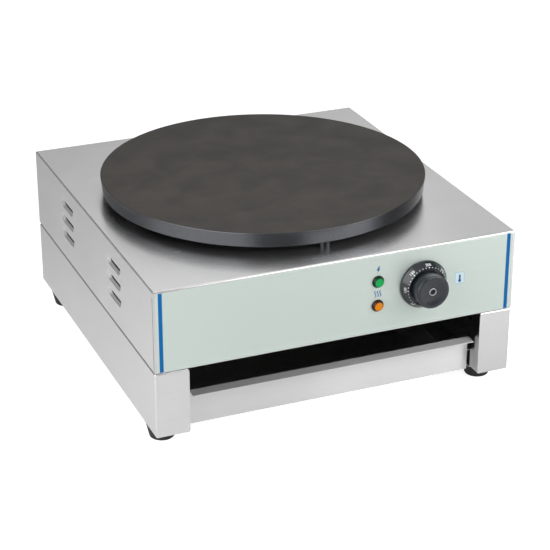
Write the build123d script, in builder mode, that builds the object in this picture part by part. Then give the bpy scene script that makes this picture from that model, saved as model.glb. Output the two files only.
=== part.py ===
from build123d import *
import math
import os

# Countertop electric crepe maker. A folded stainless stand on rubber feet carries a pull-out tray and a
# stainless housing. A round cast-iron plate stands on three posts over the housing, with a tubular heating
# element clamped under it, and a capillary thermostat behind the front sets its heat.
# X runs to the right, Y to the back and Z up. The origin is on the counter, under the plate's centre.

os.makedirs("parts", exist_ok=True)

# ---- Driving dimensions, millimetres ------------------------------------------------------------------

# Body
body_width = 450.0
body_depth = 466.0
foot_height = 20.0
stand_height = 81.5
housing_height = 100.1
sheet = 1.0
bend_radius = 2.0
flange_width = 15.0

# Stand
leg_width = 41.0
leg_return_depth = 20.0
leg_corner_notch = 3.5
foot_inset_side = 20.0
foot_inset_front = 40.0
foot_inset_back = 42.0
foot_top_diameter = 38.0
foot_bottom_diameter = 29.0
foot_edge_radius = 2.5
foot_counterbore_diameter = 11.5
foot_screw_diameter = 5.0
foot_screw_head_diameter = 9.5
foot_screw_head_height = 3.2
foot_screw_seat_height = 9.0
foot_nut_flats = 8.0
stand_screw_drop = 20.0

# Tray and its runners
tray_sheet = 0.8
tray_side_clearance = 4.0
tray_floor_rise = 0.8
tray_wall_height = 24.3
tray_flange_width = 24.0
tray_recess = 18.0
tray_front_height = 44.5
tray_front_rise = 0.5
tray_front_clearance = 5.5
tray_lip_depth = 15.0
tray_lip_drop = 0.8
tray_back_clearance = 2.0
runner_clearance = 0.2
runner_wall_gap = 5.0
runner_web_height = 20.0

# Housing
panel_margin = 3.0
floor_margin = 3.0
corner_seam = 1.2
corner_seam_stop = 4.0
overlay_side_margin = 2.5
overlay_bottom_margin = 0.8
overlay_top_margin = 2.6
overlay_thickness = 0.4

# Louvres, pressed inwards and open along their top edge and behind
louvre_length = 50.0
louvre_height = 10.5
louvre_depth = 3.0
louvre_end_slope = 4.0
louvre_slot_height = 7.5
louvre_corner_radius = 8.0
louvre_rows = 3
louvre_pitch = 20.4
louvre_top_drop = 20.5
louvre_group_offset = 93.0

# Griddle plate
plate_top_diameter = 399.6
plate_bottom_diameter = 395.6
plate_height = 18.5
plate_gap = 8.0
plate_edge_radius = 1.2
plate_rim_width = 22.0
plate_recess_depth = 4.5
plate_recess_draft = 1.5
post_count = 3
post_inset = 10.2
post_diameter = 16.0
stud_diameter = 6.0
stud_depth_in_plate = 11.0
stud_hole_relief = 1.0
stud_length_below = 10.0
stud_nut_flats = 10.0
stud_nut_height = 5.0
stud_washer_diameter = 12.0

# Heating
element_diameter = 8.5
element_wall_gap = 12.0
element_ring_pitch = 30.0
element_ring_count = 4
element_ring_sweep = 316.0
element_start_angle = 90.0
element_lead_run = 3.0
element_bend_radius = 13.0
element_lead_reach = 10.8
element_hole_clearance = 0.8
pan_flange_gap = 7.6
pan_depth = 40.0
pan_sheet = 0.8
pan_corner_radius = 4.0
pan_flange_width = 14.0
pan_rivet_count = 6
rivet_diameter = 4.0
rivet_head_diameter = 6.8
rivet_head_thickness = 0.8
rivet_bend_clearance = 0.3
insulation_thickness = 22.0
insulation_clearance = 0.4
clamp_count = 3
clamp_bar_width = 18.0
clamp_bar_thickness = 3.0
clamp_bar_overhang = 8.0
clamp_boss_diameter = 13.0
clamp_boss_root = 1.0
clamp_screw_diameter = 4.0
clamp_screw_head_height = 2.8
clamp_screw_depth = 12.0
clamp_hole_relief = 2.0

# Thermostat and its knob
knob_inset = 119.5
knob_rise = 53.0
shaft_diameter = 6.0
shaft_running_clearance = 0.1
shaft_flat_depth = 1.5
shaft_reach = 24.0
shaft_depth_inside = 11.0
thermostat_width = 42.0
thermostat_height = 38.0
thermostat_depth = 24.0
thermostat_corner_radius = 4.0
thermostat_bracket_sheet = 1.5
thermostat_bracket_margin = 3.0
thermostat_screw_pitch = 28.0
thermostat_screw_diameter = 4.0
thermostat_screw_head = 1.4
thermostat_screw_grip = 3.0
bushing_diameter = 9.0
capsule_diameter = 26.0
capsule_depth = 4.0
bulb_diameter = 6.0
bulb_length = 70.0
capillary_diameter = 2.0
capillary_lead = 6.0
capillary_bend_radius = 4.0
capillary_sweep_radius = 18.0
capillary_pan_gap = 5.3
knob_running_gap = 0.5
skirt_diameter = 59.0
skirt_edge = 3.5
skirt_top_diameter = 47.0
skirt_rise = 8.8
skirt_lip_width = 0.8
skirt_groove_depth = 3.0
knob_wall = 2.2
grip_diameter = 40.4
grip_face_diameter = 41.0
grip_face_reach = 28.0
grip_edge_radius = 2.0
grip_dish_depth = 2.2
grip_dish_diameter = 32.0
knob_hub_diameter = 14.0
knob_hub_recess = 2.4
knob_cap_diameter = 9.0
knob_cap_thickness = 1.2

# Pilot lamps
lamp_knob_pitch = 57.9
lamp_mid_rise = 50.3
lamp_pitch = 30.3
lens_diameter = 15.0
lens_face_diameter = 10.5
lens_height = 4.2
lens_flange = 1.2
lamp_barrel_diameter = 12.0
lamp_barrel_length = 24.0
lamp_hole_clearance = 0.2
lamp_clip_width = 3.0
lamp_clip_thickness = 1.0

# Supply side on the back panel and the floor
gland_inset = 75.0
supply_clearance = 0.5
gland_thread_diameter = 20.0
gland_flange_flats = 24.0
gland_flange_thickness = 5.0
gland_neck_length = 8.0
gland_dome_length = 21.0
gland_neck_step = 1.0
gland_dome_wall = 2.5
gland_dome_gap = 0.3
gland_dome_shoulder = 1.2
gland_dome_drop = 4.0
gland_lip_width = 1.5
gland_lip_clearance = 1.0
gland_seal_bore = 10.0
gland_seal_length = 15.0
gland_inside_length = 9.0
gland_locknut_thickness = 5.0
gland_clearance = 0.1
earth_inset = 75.0
earth_stud_diameter = 6.0
earth_stud_reach = 16.0
earth_nut_flats = 10.0
earth_nut_height = 5.0
terminal_block_width = 54.0
terminal_block_depth = 24.0
terminal_block_height = 20.0
terminal_poles = 3
terminal_inset = 60.0
terminal_corner_radius = 3.0
terminal_bore_diameter = 8.0
terminal_wire_diameter = 4.0
cutout_x = -60.0
cutout_y = -40.0
cutout_diameter = 16.0
cutout_height = 12.0
cutout_ear_span = 32.0
blade_thickness = 0.8
blade_width = 6.3
blade_length = 8.0
blade_pitch = 7.0

# Fasteners
screw_diameter = 4.0
screw_head_diameter = 7.5
screw_head_height = 2.4
screw_nut_flats = 7.0
screw_nut_height = 3.2
screw_tail = 1.6
panel_screw_length = 4.0
housing_screw_inset = 53.0
low_screw_pitch = 160.0
low_screw_shift = -20.0
hole_clearance = 0.15
thread_seat = 0.05

# ---- Levels and faces that the dimensions give ----------------------------------------------------------

side = body_width / 2
front = -body_depth / 2
back = body_depth / 2
rear_flange_face = back - sheet
stand_bottom = foot_height
stand_top = stand_bottom + stand_height
floor_top = stand_top + sheet
housing_top = floor_top + housing_height
front_inner = front + sheet
top_underside = housing_top - sheet
leg_inner = side - leg_width
plate_bottom = housing_top + plate_gap
plate_top = plate_bottom + plate_height
recess_top = plate_bottom + plate_recess_depth
element_z = recess_top - element_diameter / 2
clamp_top = recess_top - element_diameter
clamp_bottom = clamp_top - clamp_bar_thickness
pan_bottom = top_underside - pan_depth
tray_half = leg_inner - tray_side_clearance - tray_flange_width
tray_bottom = stand_bottom + tray_floor_rise
tray_flange_bottom = tray_bottom + tray_wall_height
tray_front_bottom = stand_bottom + tray_front_rise
tray_front_fold = tray_front_bottom + tray_front_height - sheet
tray_front_face = front + tray_recess
tray_box_front = tray_front_face + sheet
tray_box_back = rear_flange_face - sheet - tray_back_clearance
runner_top = tray_flange_bottom - runner_clearance
foot_places = {
    "front_left": (-(side - foot_inset_side), front + foot_inset_front),
    "front_right": (side - foot_inset_side, front + foot_inset_front),
    "back_left": (-(side - foot_inset_side), back - foot_inset_back),
    "back_right": (side - foot_inset_side, back - foot_inset_back),
}
knob_x = side - knob_inset
knob_z = floor_top + knob_rise
lamp_x = knob_x - lamp_knob_pitch
lamp_mid_z = floor_top + lamp_mid_rise
lamp_heights = {"power": lamp_mid_z + lamp_pitch / 2, "heat": lamp_mid_z - lamp_pitch / 2}
flange_screw_x = side - flange_width / 2 - sheet
housing_screw_rows = (front + housing_screw_inset, 0.0, back - housing_screw_inset)
housing_screw_places = [(x, y) for x in (-flange_screw_x, flange_screw_x) for y in housing_screw_rows]
rear_flange_top = housing_top - flange_width / 2 - sheet
rear_flange_low = floor_top + flange_width / 2 + sheet
back_screw_places = [(x, rear_flange_top) for x in (-flange_screw_x, 0.0, flange_screw_x)]
back_screw_places += [
    (low_screw_shift + x, rear_flange_low) for x in (-low_screw_pitch / 2, low_screw_pitch / 2)
]
back_screw_places += [(x, rear_flange_low + flange_width) for x in (-flange_screw_x, flange_screw_x)]
stand_screw_places = [
    (x, z)
    for x in (-flange_screw_x, flange_screw_x)
    for z in (stand_bottom + stand_screw_drop, stand_top - stand_screw_drop)
]
post_circle_radius = plate_bottom_diameter / 2 - post_inset
pan_flange_radius = post_circle_radius - stud_washer_diameter / 2 - pan_flange_gap
pan_radius = pan_flange_radius - pan_flange_width
rivet_circle_radius = pan_radius + pan_corner_radius + rivet_head_diameter / 2 + rivet_bend_clearance
element_outer_radius = pan_radius - element_wall_gap
element_ring_radii = [element_outer_radius - element_ring_pitch * ring for ring in range(element_ring_count)]
clamp_start_angle = element_start_angle + 180.0
clamp_boss_radii = [element_outer_radius - element_ring_pitch * (ring + 0.5) for ring in (0, 2)]
element_lead_x = element_bend_radius + element_lead_run
element_ends = [(element_lead_x, element_ring_radii[0]), (element_lead_x, element_ring_radii[-1])]
element_end_height = pan_bottom - pan_sheet - element_lead_reach
capillary_x = bulb_length / 2 + capillary_lead
bulb_y = -(element_ring_radii[1] + element_ring_radii[2]) / 2
bulb_z = recess_top - bulb_diameter / 2
capillary_level = pan_bottom - pan_sheet - capillary_pan_gap
gland_x = side - gland_inset
earth_x = -(side - earth_inset)
gland_z = floor_top + flange_width + gland_flange_flats / 2 + supply_clearance
earth_z = gland_z

front_plane = Plane(origin=(0, front, 0), x_dir=(1, 0, 0), z_dir=(0, -1, 0))
back_plane = Plane(origin=(0, back, 0), x_dir=(-1, 0, 0), z_dir=(0, 1, 0))


def turning_plane(x, z):
    """A plane through a Y axis at x, z: its own X is the radius, its own Y the reach out of the front."""
    return Plane(origin=(x, front, z), x_dir=(1, 0, 0), z_dir=(0, 0, -1))


def y_axis_at(x, z):
    """The axis that runs to the back through x, z."""
    return Axis((x, 0, z), (0, 1, 0))


def folded(corners, plane, radius, thickness, inside):
    """The section of a sheet folded at corners, its thickness laid on one side of them."""
    with BuildSketch(plane) as section:
        with BuildLine():
            FilletPolyline(*corners, radius=radius)
            offset(amount=thickness, side=inside)
        make_face()
    return section.sketch


# ---- Stand --------------------------------------------------------------------------------------------

stand_depth = rear_flange_face - front
stand_middle = (front + rear_flange_face) / 2
with BuildPart() as stand_right:
    # A folded side: wall, leg face with its return, rear flange, foot flange below and seat flange above.
    with BuildSketch(Plane.XY.offset(stand_bottom)):
        with Locations((side - leg_width / 2, stand_middle)):
            Rectangle(leg_width, stand_depth)
    extrude(amount=stand_height)
    fillet(
        stand_right.edges().filter_by_position(Axis.X, leg_inner + sheet, side),
        radius=bend_radius,
    )
    with BuildSketch(Plane.XY.offset(stand_bottom + sheet)):
        with Locations((side - leg_width / 2, stand_middle)):
            Rectangle(leg_width - 2 * sheet, stand_depth - 2 * sheet)
    extrude(amount=stand_height - 2 * sheet, mode=Mode.SUBTRACT)
    # The channel is open inwards behind the leg's return and beside the rear flange.
    with BuildSketch(Plane.XY.offset(stand_bottom + sheet)):
        with Locations((leg_inner, stand_middle + leg_return_depth)):
            Rectangle(2 * (leg_width - flange_width), stand_depth)
    extrude(amount=stand_height - 2 * sheet, mode=Mode.SUBTRACT)
    # The blank is notched where the leg's return meets the two flanges.
    with BuildSketch(front_plane):
        with Locations((leg_inner, stand_bottom), (leg_inner, stand_top)):
            Rectangle(2 * leg_corner_notch, 2 * leg_corner_notch)
        with Locations(
            (leg_inner + leg_corner_notch, stand_bottom + leg_corner_notch),
            (leg_inner + leg_corner_notch, stand_top - leg_corner_notch),
        ):
            Circle(leg_corner_notch, mode=Mode.SUBTRACT)
    extrude(amount=-leg_return_depth - sheet, mode=Mode.SUBTRACT)
    with BuildSketch(Plane.XY.offset(stand_bottom)):
        with Locations(foot_places["front_right"], foot_places["back_right"]):
            Circle(foot_screw_diameter / 2 + hole_clearance)
    extrude(amount=sheet, mode=Mode.SUBTRACT)
    with BuildSketch(Plane.XY.offset(stand_top - sheet)):
        with Locations(*housing_screw_places[3:]):
            Circle(screw_diameter / 2 + hole_clearance)
    extrude(amount=sheet, mode=Mode.SUBTRACT)
    with BuildSketch(back_plane.offset(-sheet)):
        with Locations(*[(-x, z) for x, z in stand_screw_places]):
            Circle(screw_diameter / 2 + thread_seat)
    extrude(amount=-2 * sheet, mode=Mode.SUBTRACT)
stand_right.part.label = "stand_right"
export_step(stand_right.part, "parts/stand_right.step")

with BuildPart() as stand_left:
    mirror(stand_right.part, about=Plane.YZ)
stand_left.part.label = "stand_left"
export_step(stand_left.part, "parts/stand_left.step")

with BuildPart() as stand_back:
    stand_back_bottom = stand_bottom + panel_margin
    stand_back_top = stand_top - hole_clearance
    with BuildSketch(back_plane):
        with Locations((0, (stand_back_bottom + stand_back_top) / 2)):
            RectangleRounded(body_width - 2 * panel_margin, stand_back_top - stand_back_bottom, bend_radius)
        with Locations(*[(-x, z) for x, z in stand_screw_places]):
            Circle(screw_diameter / 2 + hole_clearance, mode=Mode.SUBTRACT)
    extrude(amount=-sheet)
stand_back.part.label = "stand_back"
export_step(stand_back.part, "parts/stand_back.step")

# ---- Runners ------------------------------------------------------------------------------------------

runner_inner = tray_half + runner_wall_gap
runner_front = front + leg_return_depth + hole_clearance
with BuildPart() as runner_right:
    # An angle on the side wall, from behind the leg's return to the rear flange: its ledge carries the tray.
    section = folded(
        [
            (runner_inner, runner_top),
            (side - sheet, runner_top),
            (side - sheet, runner_top - runner_web_height),
        ],
        Plane.XZ.offset(-runner_front),
        bend_radius,
        sheet,
        Side.RIGHT,
    )
    extrude(section, amount=-(rear_flange_face - sheet - runner_front))
runner_right.part.label = "runner_right"
export_step(runner_right.part, "parts/runner_right.step")

with BuildPart() as runner_left:
    mirror(runner_right.part, about=Plane.YZ)
runner_left.part.label = "runner_left"
export_step(runner_left.part, "parts/runner_left.step")

# ---- Feet ---------------------------------------------------------------------------------------------

with BuildPart() as foot:
    # A moulded rubber cone, wider where it meets the stand, bored for its screw.
    with BuildSketch(Plane.XZ) as foot_profile:
        Polygon(
            (0, 0),
            (foot_bottom_diameter / 2, 0),
            (foot_top_diameter / 2, foot_height),
            (0, foot_height),
            align=None,
        )
        foot_edge = foot_profile.vertices().sort_by_distance((foot_bottom_diameter / 2, 0))[0]
        fillet(foot_edge, foot_edge_radius)
    revolve(axis=Axis.Z)
    with BuildSketch():
        Circle(foot_counterbore_diameter / 2)
    extrude(amount=foot_screw_seat_height, mode=Mode.SUBTRACT)
    with BuildSketch():
        Circle(foot_screw_diameter / 2 + hole_clearance)
    extrude(amount=foot_height, mode=Mode.SUBTRACT)

with BuildPart() as foot_screw:
    # A pan-head screw that rises from the foot's counterbore through the flange.
    with BuildSketch(Plane.XY.offset(foot_screw_seat_height - foot_screw_head_height)):
        Circle(foot_screw_head_diameter / 2)
    extrude(amount=foot_screw_head_height)
    with BuildSketch(Plane.XY.offset(foot_screw_seat_height)):
        Circle(foot_screw_diameter / 2)
    extrude(amount=foot_height - foot_screw_seat_height + sheet + screw_nut_height + screw_tail)

with BuildPart() as foot_nut:
    with BuildSketch(Plane.XY.offset(stand_bottom + sheet)):
        RegularPolygon(foot_nut_flats / 2, 6, major_radius=False)
        Circle(foot_screw_diameter / 2 + thread_seat, mode=Mode.SUBTRACT)
    extrude(amount=screw_nut_height)

for place, (foot_x, foot_y) in foot_places.items():
    with BuildPart(Location((foot_x, foot_y))) as placed_foot:
        add(foot.part)
    placed_foot.part.label = f"foot_{place}"
    export_step(placed_foot.part, f"parts/foot_{place}.step")

with BuildPart() as foot_screws:
    with Locations(*foot_places.values()):
        add(foot_screw.part)
foot_screws.part.label = "foot_screws"
export_step(foot_screws.part, "parts/foot_screws.step")

with BuildPart() as foot_nuts:
    with Locations(*foot_places.values()):
        add(foot_nut.part)
foot_nuts.part.label = "foot_nuts"
export_step(foot_nuts.part, "parts/foot_nuts.step")

# ---- Tray ---------------------------------------------------------------------------------------------

with BuildPart() as tray_box:
    # Floor, low walls and the outward flanges that ride on the runners, folded from one sheet.
    section = folded(
        [
            (-tray_half - tray_flange_width, tray_flange_bottom),
            (-tray_half, tray_flange_bottom),
            (-tray_half, tray_bottom),
            (tray_half, tray_bottom),
            (tray_half, tray_flange_bottom),
            (tray_half + tray_flange_width, tray_flange_bottom),
        ],
        Plane.XZ.offset(-tray_box_front),
        bend_radius,
        tray_sheet,
        Side.LEFT,
    )
    extrude(section, amount=-(tray_box_back - tray_box_front))
    # End walls, welded in at the front and at the back.
    with BuildSketch(
        Plane.XZ.offset(-tray_box_front), Plane.XZ.offset(-(tray_box_back - tray_sheet))
    ) as tray_end:
        with Locations((0, tray_bottom + tray_wall_height / 2)):
            Rectangle(2 * tray_half, tray_wall_height)
        fillet(tray_end.vertices().group_by(Axis.Y)[0], radius=bend_radius)
    extrude(amount=-tray_sheet)
tray_box.part.label = "tray_box"
export_step(tray_box.part, "parts/tray_box.step")

tray_front_half = leg_inner - tray_front_clearance
with BuildPart() as tray_front:
    # The front plate, folded forward along its top into a finger lip.
    section = folded(
        [
            (tray_front_face, tray_front_bottom),
            (tray_front_face, tray_front_fold),
            (tray_front_face - tray_lip_depth, tray_front_fold - tray_lip_drop),
        ],
        Plane.YZ,
        bend_radius,
        sheet,
        Side.RIGHT,
    )
    extrude(section, amount=tray_front_half, both=True)
tray_front.part.label = "tray_front"
export_step(tray_front.part, "parts/tray_front.step")

# ---- Housing ------------------------------------------------------------------------------------------

louvre_tops = [housing_top - louvre_top_drop - louvre_pitch * row for row in range(louvre_rows)]
louvre_places = [
    (0, y, z) for y in (-louvre_group_offset, louvre_group_offset) for z in louvre_tops
]


def louvre_outline(plane, length, height, corner):
    """A louvre's outline hung from its straight top edge, its lower corners rounded."""
    with BuildSketch(plane) as outline:
        with Locations((0, -height / 2)):
            Rectangle(length, height)
        fillet(outline.vertices().group_by(Axis.Y)[0], radius=corner)
    return outline.sketch


def louvre_slot(reach, growth):
    """The slot's outline behind the side's outer face by a reach, grown by a wall."""
    return louvre_outline(
        Plane.YZ.offset(side - reach),
        louvre_length - 2 * louvre_end_slope + 2 * growth,
        louvre_slot_height + growth,
        louvre_slot_height - sheet + growth,
    )


def louvre_form(growth):
    """The pressed form from the side's outer face to its full depth, grown by a wall."""
    with BuildPart() as form:
        add(
            louvre_outline(
                Plane.YZ.offset(side),
                louvre_length + 2 * growth,
                louvre_height + growth,
                louvre_corner_radius + growth,
            )
        )
        add(louvre_slot(louvre_depth + growth, growth))
        loft(ruled=True)
    return form.part


with BuildPart() as louvre_recess:
    add(louvre_form(0.0))
with BuildPart() as louvre_scoop:
    add(louvre_form(sheet))
    split(bisect_by=Plane.YZ.offset(side - sheet / 2), keep=Keep.BOTTOM)
    add(louvre_form(0.0), mode=Mode.SUBTRACT)
    extrude(louvre_slot(louvre_depth + sheet, 0.0), amount=sheet, mode=Mode.SUBTRACT)

shell_depth = rear_flange_face - front
shell_middle = (front + rear_flange_face) / 2
with BuildPart() as housing_shell:
    # Top, front and sides from one blank, with narrow flanges turned in below and behind.
    with BuildSketch(Plane.XY.offset(floor_top)):
        with Locations((0, shell_middle)):
            Rectangle(body_width, shell_depth)
    extrude(amount=housing_height)
    fillet(
        housing_shell.edges().filter_by(Axis.Y)
        + housing_shell.edges().filter_by(Axis.X).group_by(Axis.Y)[0].sort_by(Axis.Z)[-1:],
        radius=bend_radius,
    )
    with BuildSketch(Plane.XY.offset(floor_top + sheet)):
        with Locations((0, shell_middle)):
            Rectangle(body_width - 2 * sheet, shell_depth - 2 * sheet)
    extrude(amount=housing_height - 2 * sheet, mode=Mode.SUBTRACT)
    with BuildSketch(Plane.XY.offset(floor_top)):
        with Locations((0, (front + flange_width + rear_flange_face) / 2)):
            Rectangle(body_width - 2 * flange_width, rear_flange_face - front - flange_width)
    extrude(amount=sheet, mode=Mode.SUBTRACT)
    with BuildSketch(back_plane.offset(-sheet)):
        with Locations((0, floor_top + (housing_height - flange_width) / 2)):
            Rectangle(body_width - 2 * flange_width, housing_height - flange_width)
    extrude(amount=-sheet, mode=Mode.SUBTRACT)
    # The open seam where each side meets the front.
    seam_height = housing_height - corner_seam_stop - bend_radius
    with BuildSketch(Plane.XY.offset(floor_top + bend_radius)):
        with Locations(
            (side - sheet / 2, front_inner + corner_seam / 2),
            (-side + sheet / 2, front_inner + corner_seam / 2),
        ):
            Rectangle(sheet, corner_seam)
    extrude(amount=seam_height - bend_radius, mode=Mode.SUBTRACT)
    # Louvres on the right side, then the same mirrored to the left.
    with Locations(*louvre_places):
        add(louvre_recess.part, mode=Mode.SUBTRACT)
    with Locations(*louvre_places):
        add(louvre_scoop.part)
    with Locations(*louvre_places):
        add(mirror(louvre_recess.part, about=Plane.YZ, mode=Mode.PRIVATE), mode=Mode.SUBTRACT)
    with Locations(*louvre_places):
        add(mirror(louvre_scoop.part, about=Plane.YZ, mode=Mode.PRIVATE))
    # Cut-out for the pan, rivet holes round it and stud holes for the plate's posts.
    with BuildSketch(Plane.XY.offset(top_underside)):
        Circle(pan_radius)
        with PolarLocations(post_circle_radius, post_count, start_angle=-90):
            Circle(stud_diameter / 2 + hole_clearance)
        with PolarLocations(rivet_circle_radius, pan_rivet_count):
            Circle(rivet_diameter / 2 + thread_seat)
    extrude(amount=sheet, mode=Mode.SUBTRACT)
    # Front holes for the thermostat's bushing and screws and for the lamps.
    with BuildSketch(front_plane):
        with Locations((knob_x, knob_z)):
            Circle(bushing_diameter / 2 + hole_clearance)
            with GridLocations(thermostat_screw_pitch, 0, 2, 1):
                Circle(thermostat_screw_diameter / 2 + hole_clearance)
        with Locations(*[(lamp_x, z) for z in lamp_heights.values()]):
            Circle(lamp_barrel_diameter / 2 + lamp_hole_clearance)
    extrude(amount=-sheet, mode=Mode.SUBTRACT)
    # Screw holes in the lower and the rear flanges.
    with BuildSketch(Plane.XY.offset(floor_top)):
        with Locations(*housing_screw_places):
            Circle(screw_diameter / 2 + hole_clearance)
    extrude(amount=sheet, mode=Mode.SUBTRACT)
    with BuildSketch(back_plane.offset(-sheet)):
        with Locations(*[(-x, z) for x, z in back_screw_places]):
            Circle(screw_diameter / 2 + thread_seat)
    extrude(amount=-sheet, mode=Mode.SUBTRACT)
housing_shell.part.label = "housing_shell"
export_step(housing_shell.part, "parts/housing_shell.step")

with BuildPart() as housing_floor:
    # The floor, turned up behind inside the shell's rear flanges.
    rear_tab_half = side - flange_width - 2 * hole_clearance
    section = folded(
        [
            (front + floor_margin, stand_top),
            (rear_flange_face, stand_top),
            (rear_flange_face, floor_top + flange_width),
        ],
        Plane.YZ,
        bend_radius,
        sheet,
        Side.LEFT,
    )
    extrude(section, amount=rear_tab_half, both=True)
    with BuildSketch(Plane.XY.offset(stand_top)):
        Rectangle(body_width - 2 * floor_margin, body_depth - 2 * floor_margin)
        with Locations(*housing_screw_places):
            Circle(screw_diameter / 2 + hole_clearance, mode=Mode.SUBTRACT)
    extrude(amount=sheet)
    with BuildSketch(back_plane.offset(-sheet)):
        with Locations(*[(-x, z) for x, z in back_screw_places]):
            Circle(screw_diameter / 2 + thread_seat)
    extrude(amount=-sheet, mode=Mode.SUBTRACT)
housing_floor.part.label = "housing_floor"
export_step(housing_floor.part, "parts/housing_floor.step")

with BuildPart() as back_panel:
    panel_bottom = floor_top + hole_clearance
    panel_top = housing_top - panel_margin
    with BuildSketch(back_plane):
        with Locations((0, (panel_bottom + panel_top) / 2)):
            RectangleRounded(body_width - 2 * panel_margin, panel_top - panel_bottom, bend_radius)
        with Locations(*[(-x, z) for x, z in back_screw_places]):
            Circle(screw_diameter / 2 + hole_clearance, mode=Mode.SUBTRACT)
        with Locations((-gland_x, gland_z)):
            Circle(gland_thread_diameter / 2 + gland_clearance, mode=Mode.SUBTRACT)
        with Locations((-earth_x, earth_z)):
            Circle(earth_stud_diameter / 2 + hole_clearance, mode=Mode.SUBTRACT)
    extrude(amount=-sheet)
back_panel.part.label = "back_panel"
export_step(back_panel.part, "parts/back_panel.step")

with BuildPart() as control_overlay:
    overlay_bottom = floor_top + overlay_bottom_margin
    overlay_top = housing_top - overlay_top_margin
    with BuildSketch(front_plane):
        with Locations((0, (overlay_bottom + overlay_top) / 2)):
            Rectangle(body_width - 2 * overlay_side_margin, overlay_top - overlay_bottom)
        with Locations((knob_x, knob_z)):
            Circle(bushing_diameter / 2 + hole_clearance, mode=Mode.SUBTRACT)
            with GridLocations(thermostat_screw_pitch, 0, 2, 1):
                Circle(thermostat_screw_diameter / 2 + hole_clearance, mode=Mode.SUBTRACT)
        with Locations(*[(lamp_x, z) for z in lamp_heights.values()]):
            Circle(lamp_barrel_diameter / 2 + lamp_hole_clearance, mode=Mode.SUBTRACT)
    extrude(amount=overlay_thickness)
control_overlay.part.label = "control_overlay"
export_step(control_overlay.part, "parts/control_overlay.step")

# ---- Housing fasteners --------------------------------------------------------------------------------

with BuildPart() as housing_screws:
    # From below through stand, floor and shell.
    with BuildSketch(Plane.XY.offset(stand_top - sheet - screw_head_height)):
        with Locations(*housing_screw_places):
            Circle(screw_head_diameter / 2)
    extrude(amount=screw_head_height)
    with BuildSketch(Plane.XY.offset(stand_top - sheet)):
        with Locations(*housing_screw_places):
            Circle(screw_diameter / 2)
    extrude(amount=3 * sheet + screw_nut_height + screw_tail)
housing_screws.part.label = "housing_screws"
export_step(housing_screws.part, "parts/housing_screws.step")

with BuildPart() as housing_nuts:
    with BuildSketch(Plane.XY.offset(floor_top + sheet)):
        with Locations(*housing_screw_places):
            RegularPolygon(screw_nut_flats / 2, 6, major_radius=False)
        with Locations(*housing_screw_places):
            Circle(screw_diameter / 2 + thread_seat, mode=Mode.SUBTRACT)
    extrude(amount=screw_nut_height)
housing_nuts.part.label = "housing_nuts"
export_step(housing_nuts.part, "parts/housing_nuts.step")

with BuildPart() as panel_screw:
    # A sheet-metal screw with a domed head, seated on the outer face of a back panel.
    with BuildSketch(Plane.XY) as screw_profile:
        with BuildLine():
            Polyline(
                (screw_head_diameter / 2, 0),
                (screw_diameter / 2, 0),
                (screw_diameter / 2, -panel_screw_length + screw_diameter / 4),
                (0, -panel_screw_length),
                (0, screw_head_height),
            )
            TangentArc((0, screw_head_height), (screw_head_diameter / 2, 0), tangent=(1, 0))
        make_face()
    revolve(axis=Axis.Y)

with BuildPart() as back_panel_screws:
    with Locations(*[(x, back, z) for x, z in back_screw_places]):
        add(panel_screw.part)
back_panel_screws.part.label = "back_panel_screws"
export_step(back_panel_screws.part, "parts/back_panel_screws.step")

with BuildPart() as stand_back_screws:
    with Locations(*[(x, back, z) for x, z in stand_screw_places]):
        add(panel_screw.part)
stand_back_screws.part.label = "stand_back_screws"
export_step(stand_back_screws.part, "parts/stand_back_screws.step")

# ---- Griddle plate and its posts ----------------------------------------------------------------------

with BuildPart() as griddle_plate:
    # Cast iron, with a tapered edge and a deeper rim round the recess that holds the element.
    with BuildSketch(Plane.XZ) as plate_profile:
        Polygon(
            (0, plate_top),
            (plate_top_diameter / 2, plate_top),
            (plate_bottom_diameter / 2, plate_bottom),
            (plate_bottom_diameter / 2 - plate_rim_width, plate_bottom),
            (plate_bottom_diameter / 2 - plate_rim_width - plate_recess_draft, recess_top),
            (0, recess_top),
            align=None,
        )
        fillet(plate_profile.vertices().group_by(Axis.X)[-2:], radius=plate_edge_radius)
    revolve(axis=Axis.Z)
    # Bosses between the element's rings, tapped for the clamps' screws.
    with BuildSketch(Plane.XY.offset(clamp_top)):
        for radius in clamp_boss_radii:
            with PolarLocations(radius, clamp_count, start_angle=clamp_start_angle):
                Circle(clamp_boss_diameter / 2)
    extrude(amount=element_diameter + clamp_boss_root)
    with BuildSketch(Plane.XY.offset(clamp_top)):
        for radius in clamp_boss_radii:
            with PolarLocations(radius, clamp_count, start_angle=clamp_start_angle):
                Circle(clamp_screw_diameter / 2 + thread_seat)
    extrude(amount=clamp_screw_depth + clamp_hole_relief, mode=Mode.SUBTRACT)
    with BuildSketch(Plane.XY.offset(plate_bottom)):
        with PolarLocations(post_circle_radius, post_count, start_angle=-90):
            Circle(stud_diameter / 2 + thread_seat)
    extrude(amount=stud_depth_in_plate + stud_hole_relief, mode=Mode.SUBTRACT)
griddle_plate.part.label = "griddle_plate"
export_step(griddle_plate.part, "parts/griddle_plate.step")

with BuildPart() as plate_posts:
    with BuildSketch(Plane.XY.offset(housing_top)):
        with PolarLocations(post_circle_radius, post_count, start_angle=-90):
            Circle(post_diameter / 2)
            Circle(stud_diameter / 2 + hole_clearance, mode=Mode.SUBTRACT)
    extrude(amount=plate_gap)
plate_posts.part.label = "plate_posts"
export_step(plate_posts.part, "parts/plate_posts.step")

with BuildPart() as plate_studs:
    with BuildSketch(Plane.XY.offset(top_underside - stud_length_below)):
        with PolarLocations(post_circle_radius, post_count, start_angle=-90):
            Circle(stud_diameter / 2)
    extrude(amount=stud_length_below + sheet + plate_gap + stud_depth_in_plate)
plate_studs.part.label = "plate_studs"
export_step(plate_studs.part, "parts/plate_studs.step")

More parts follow.
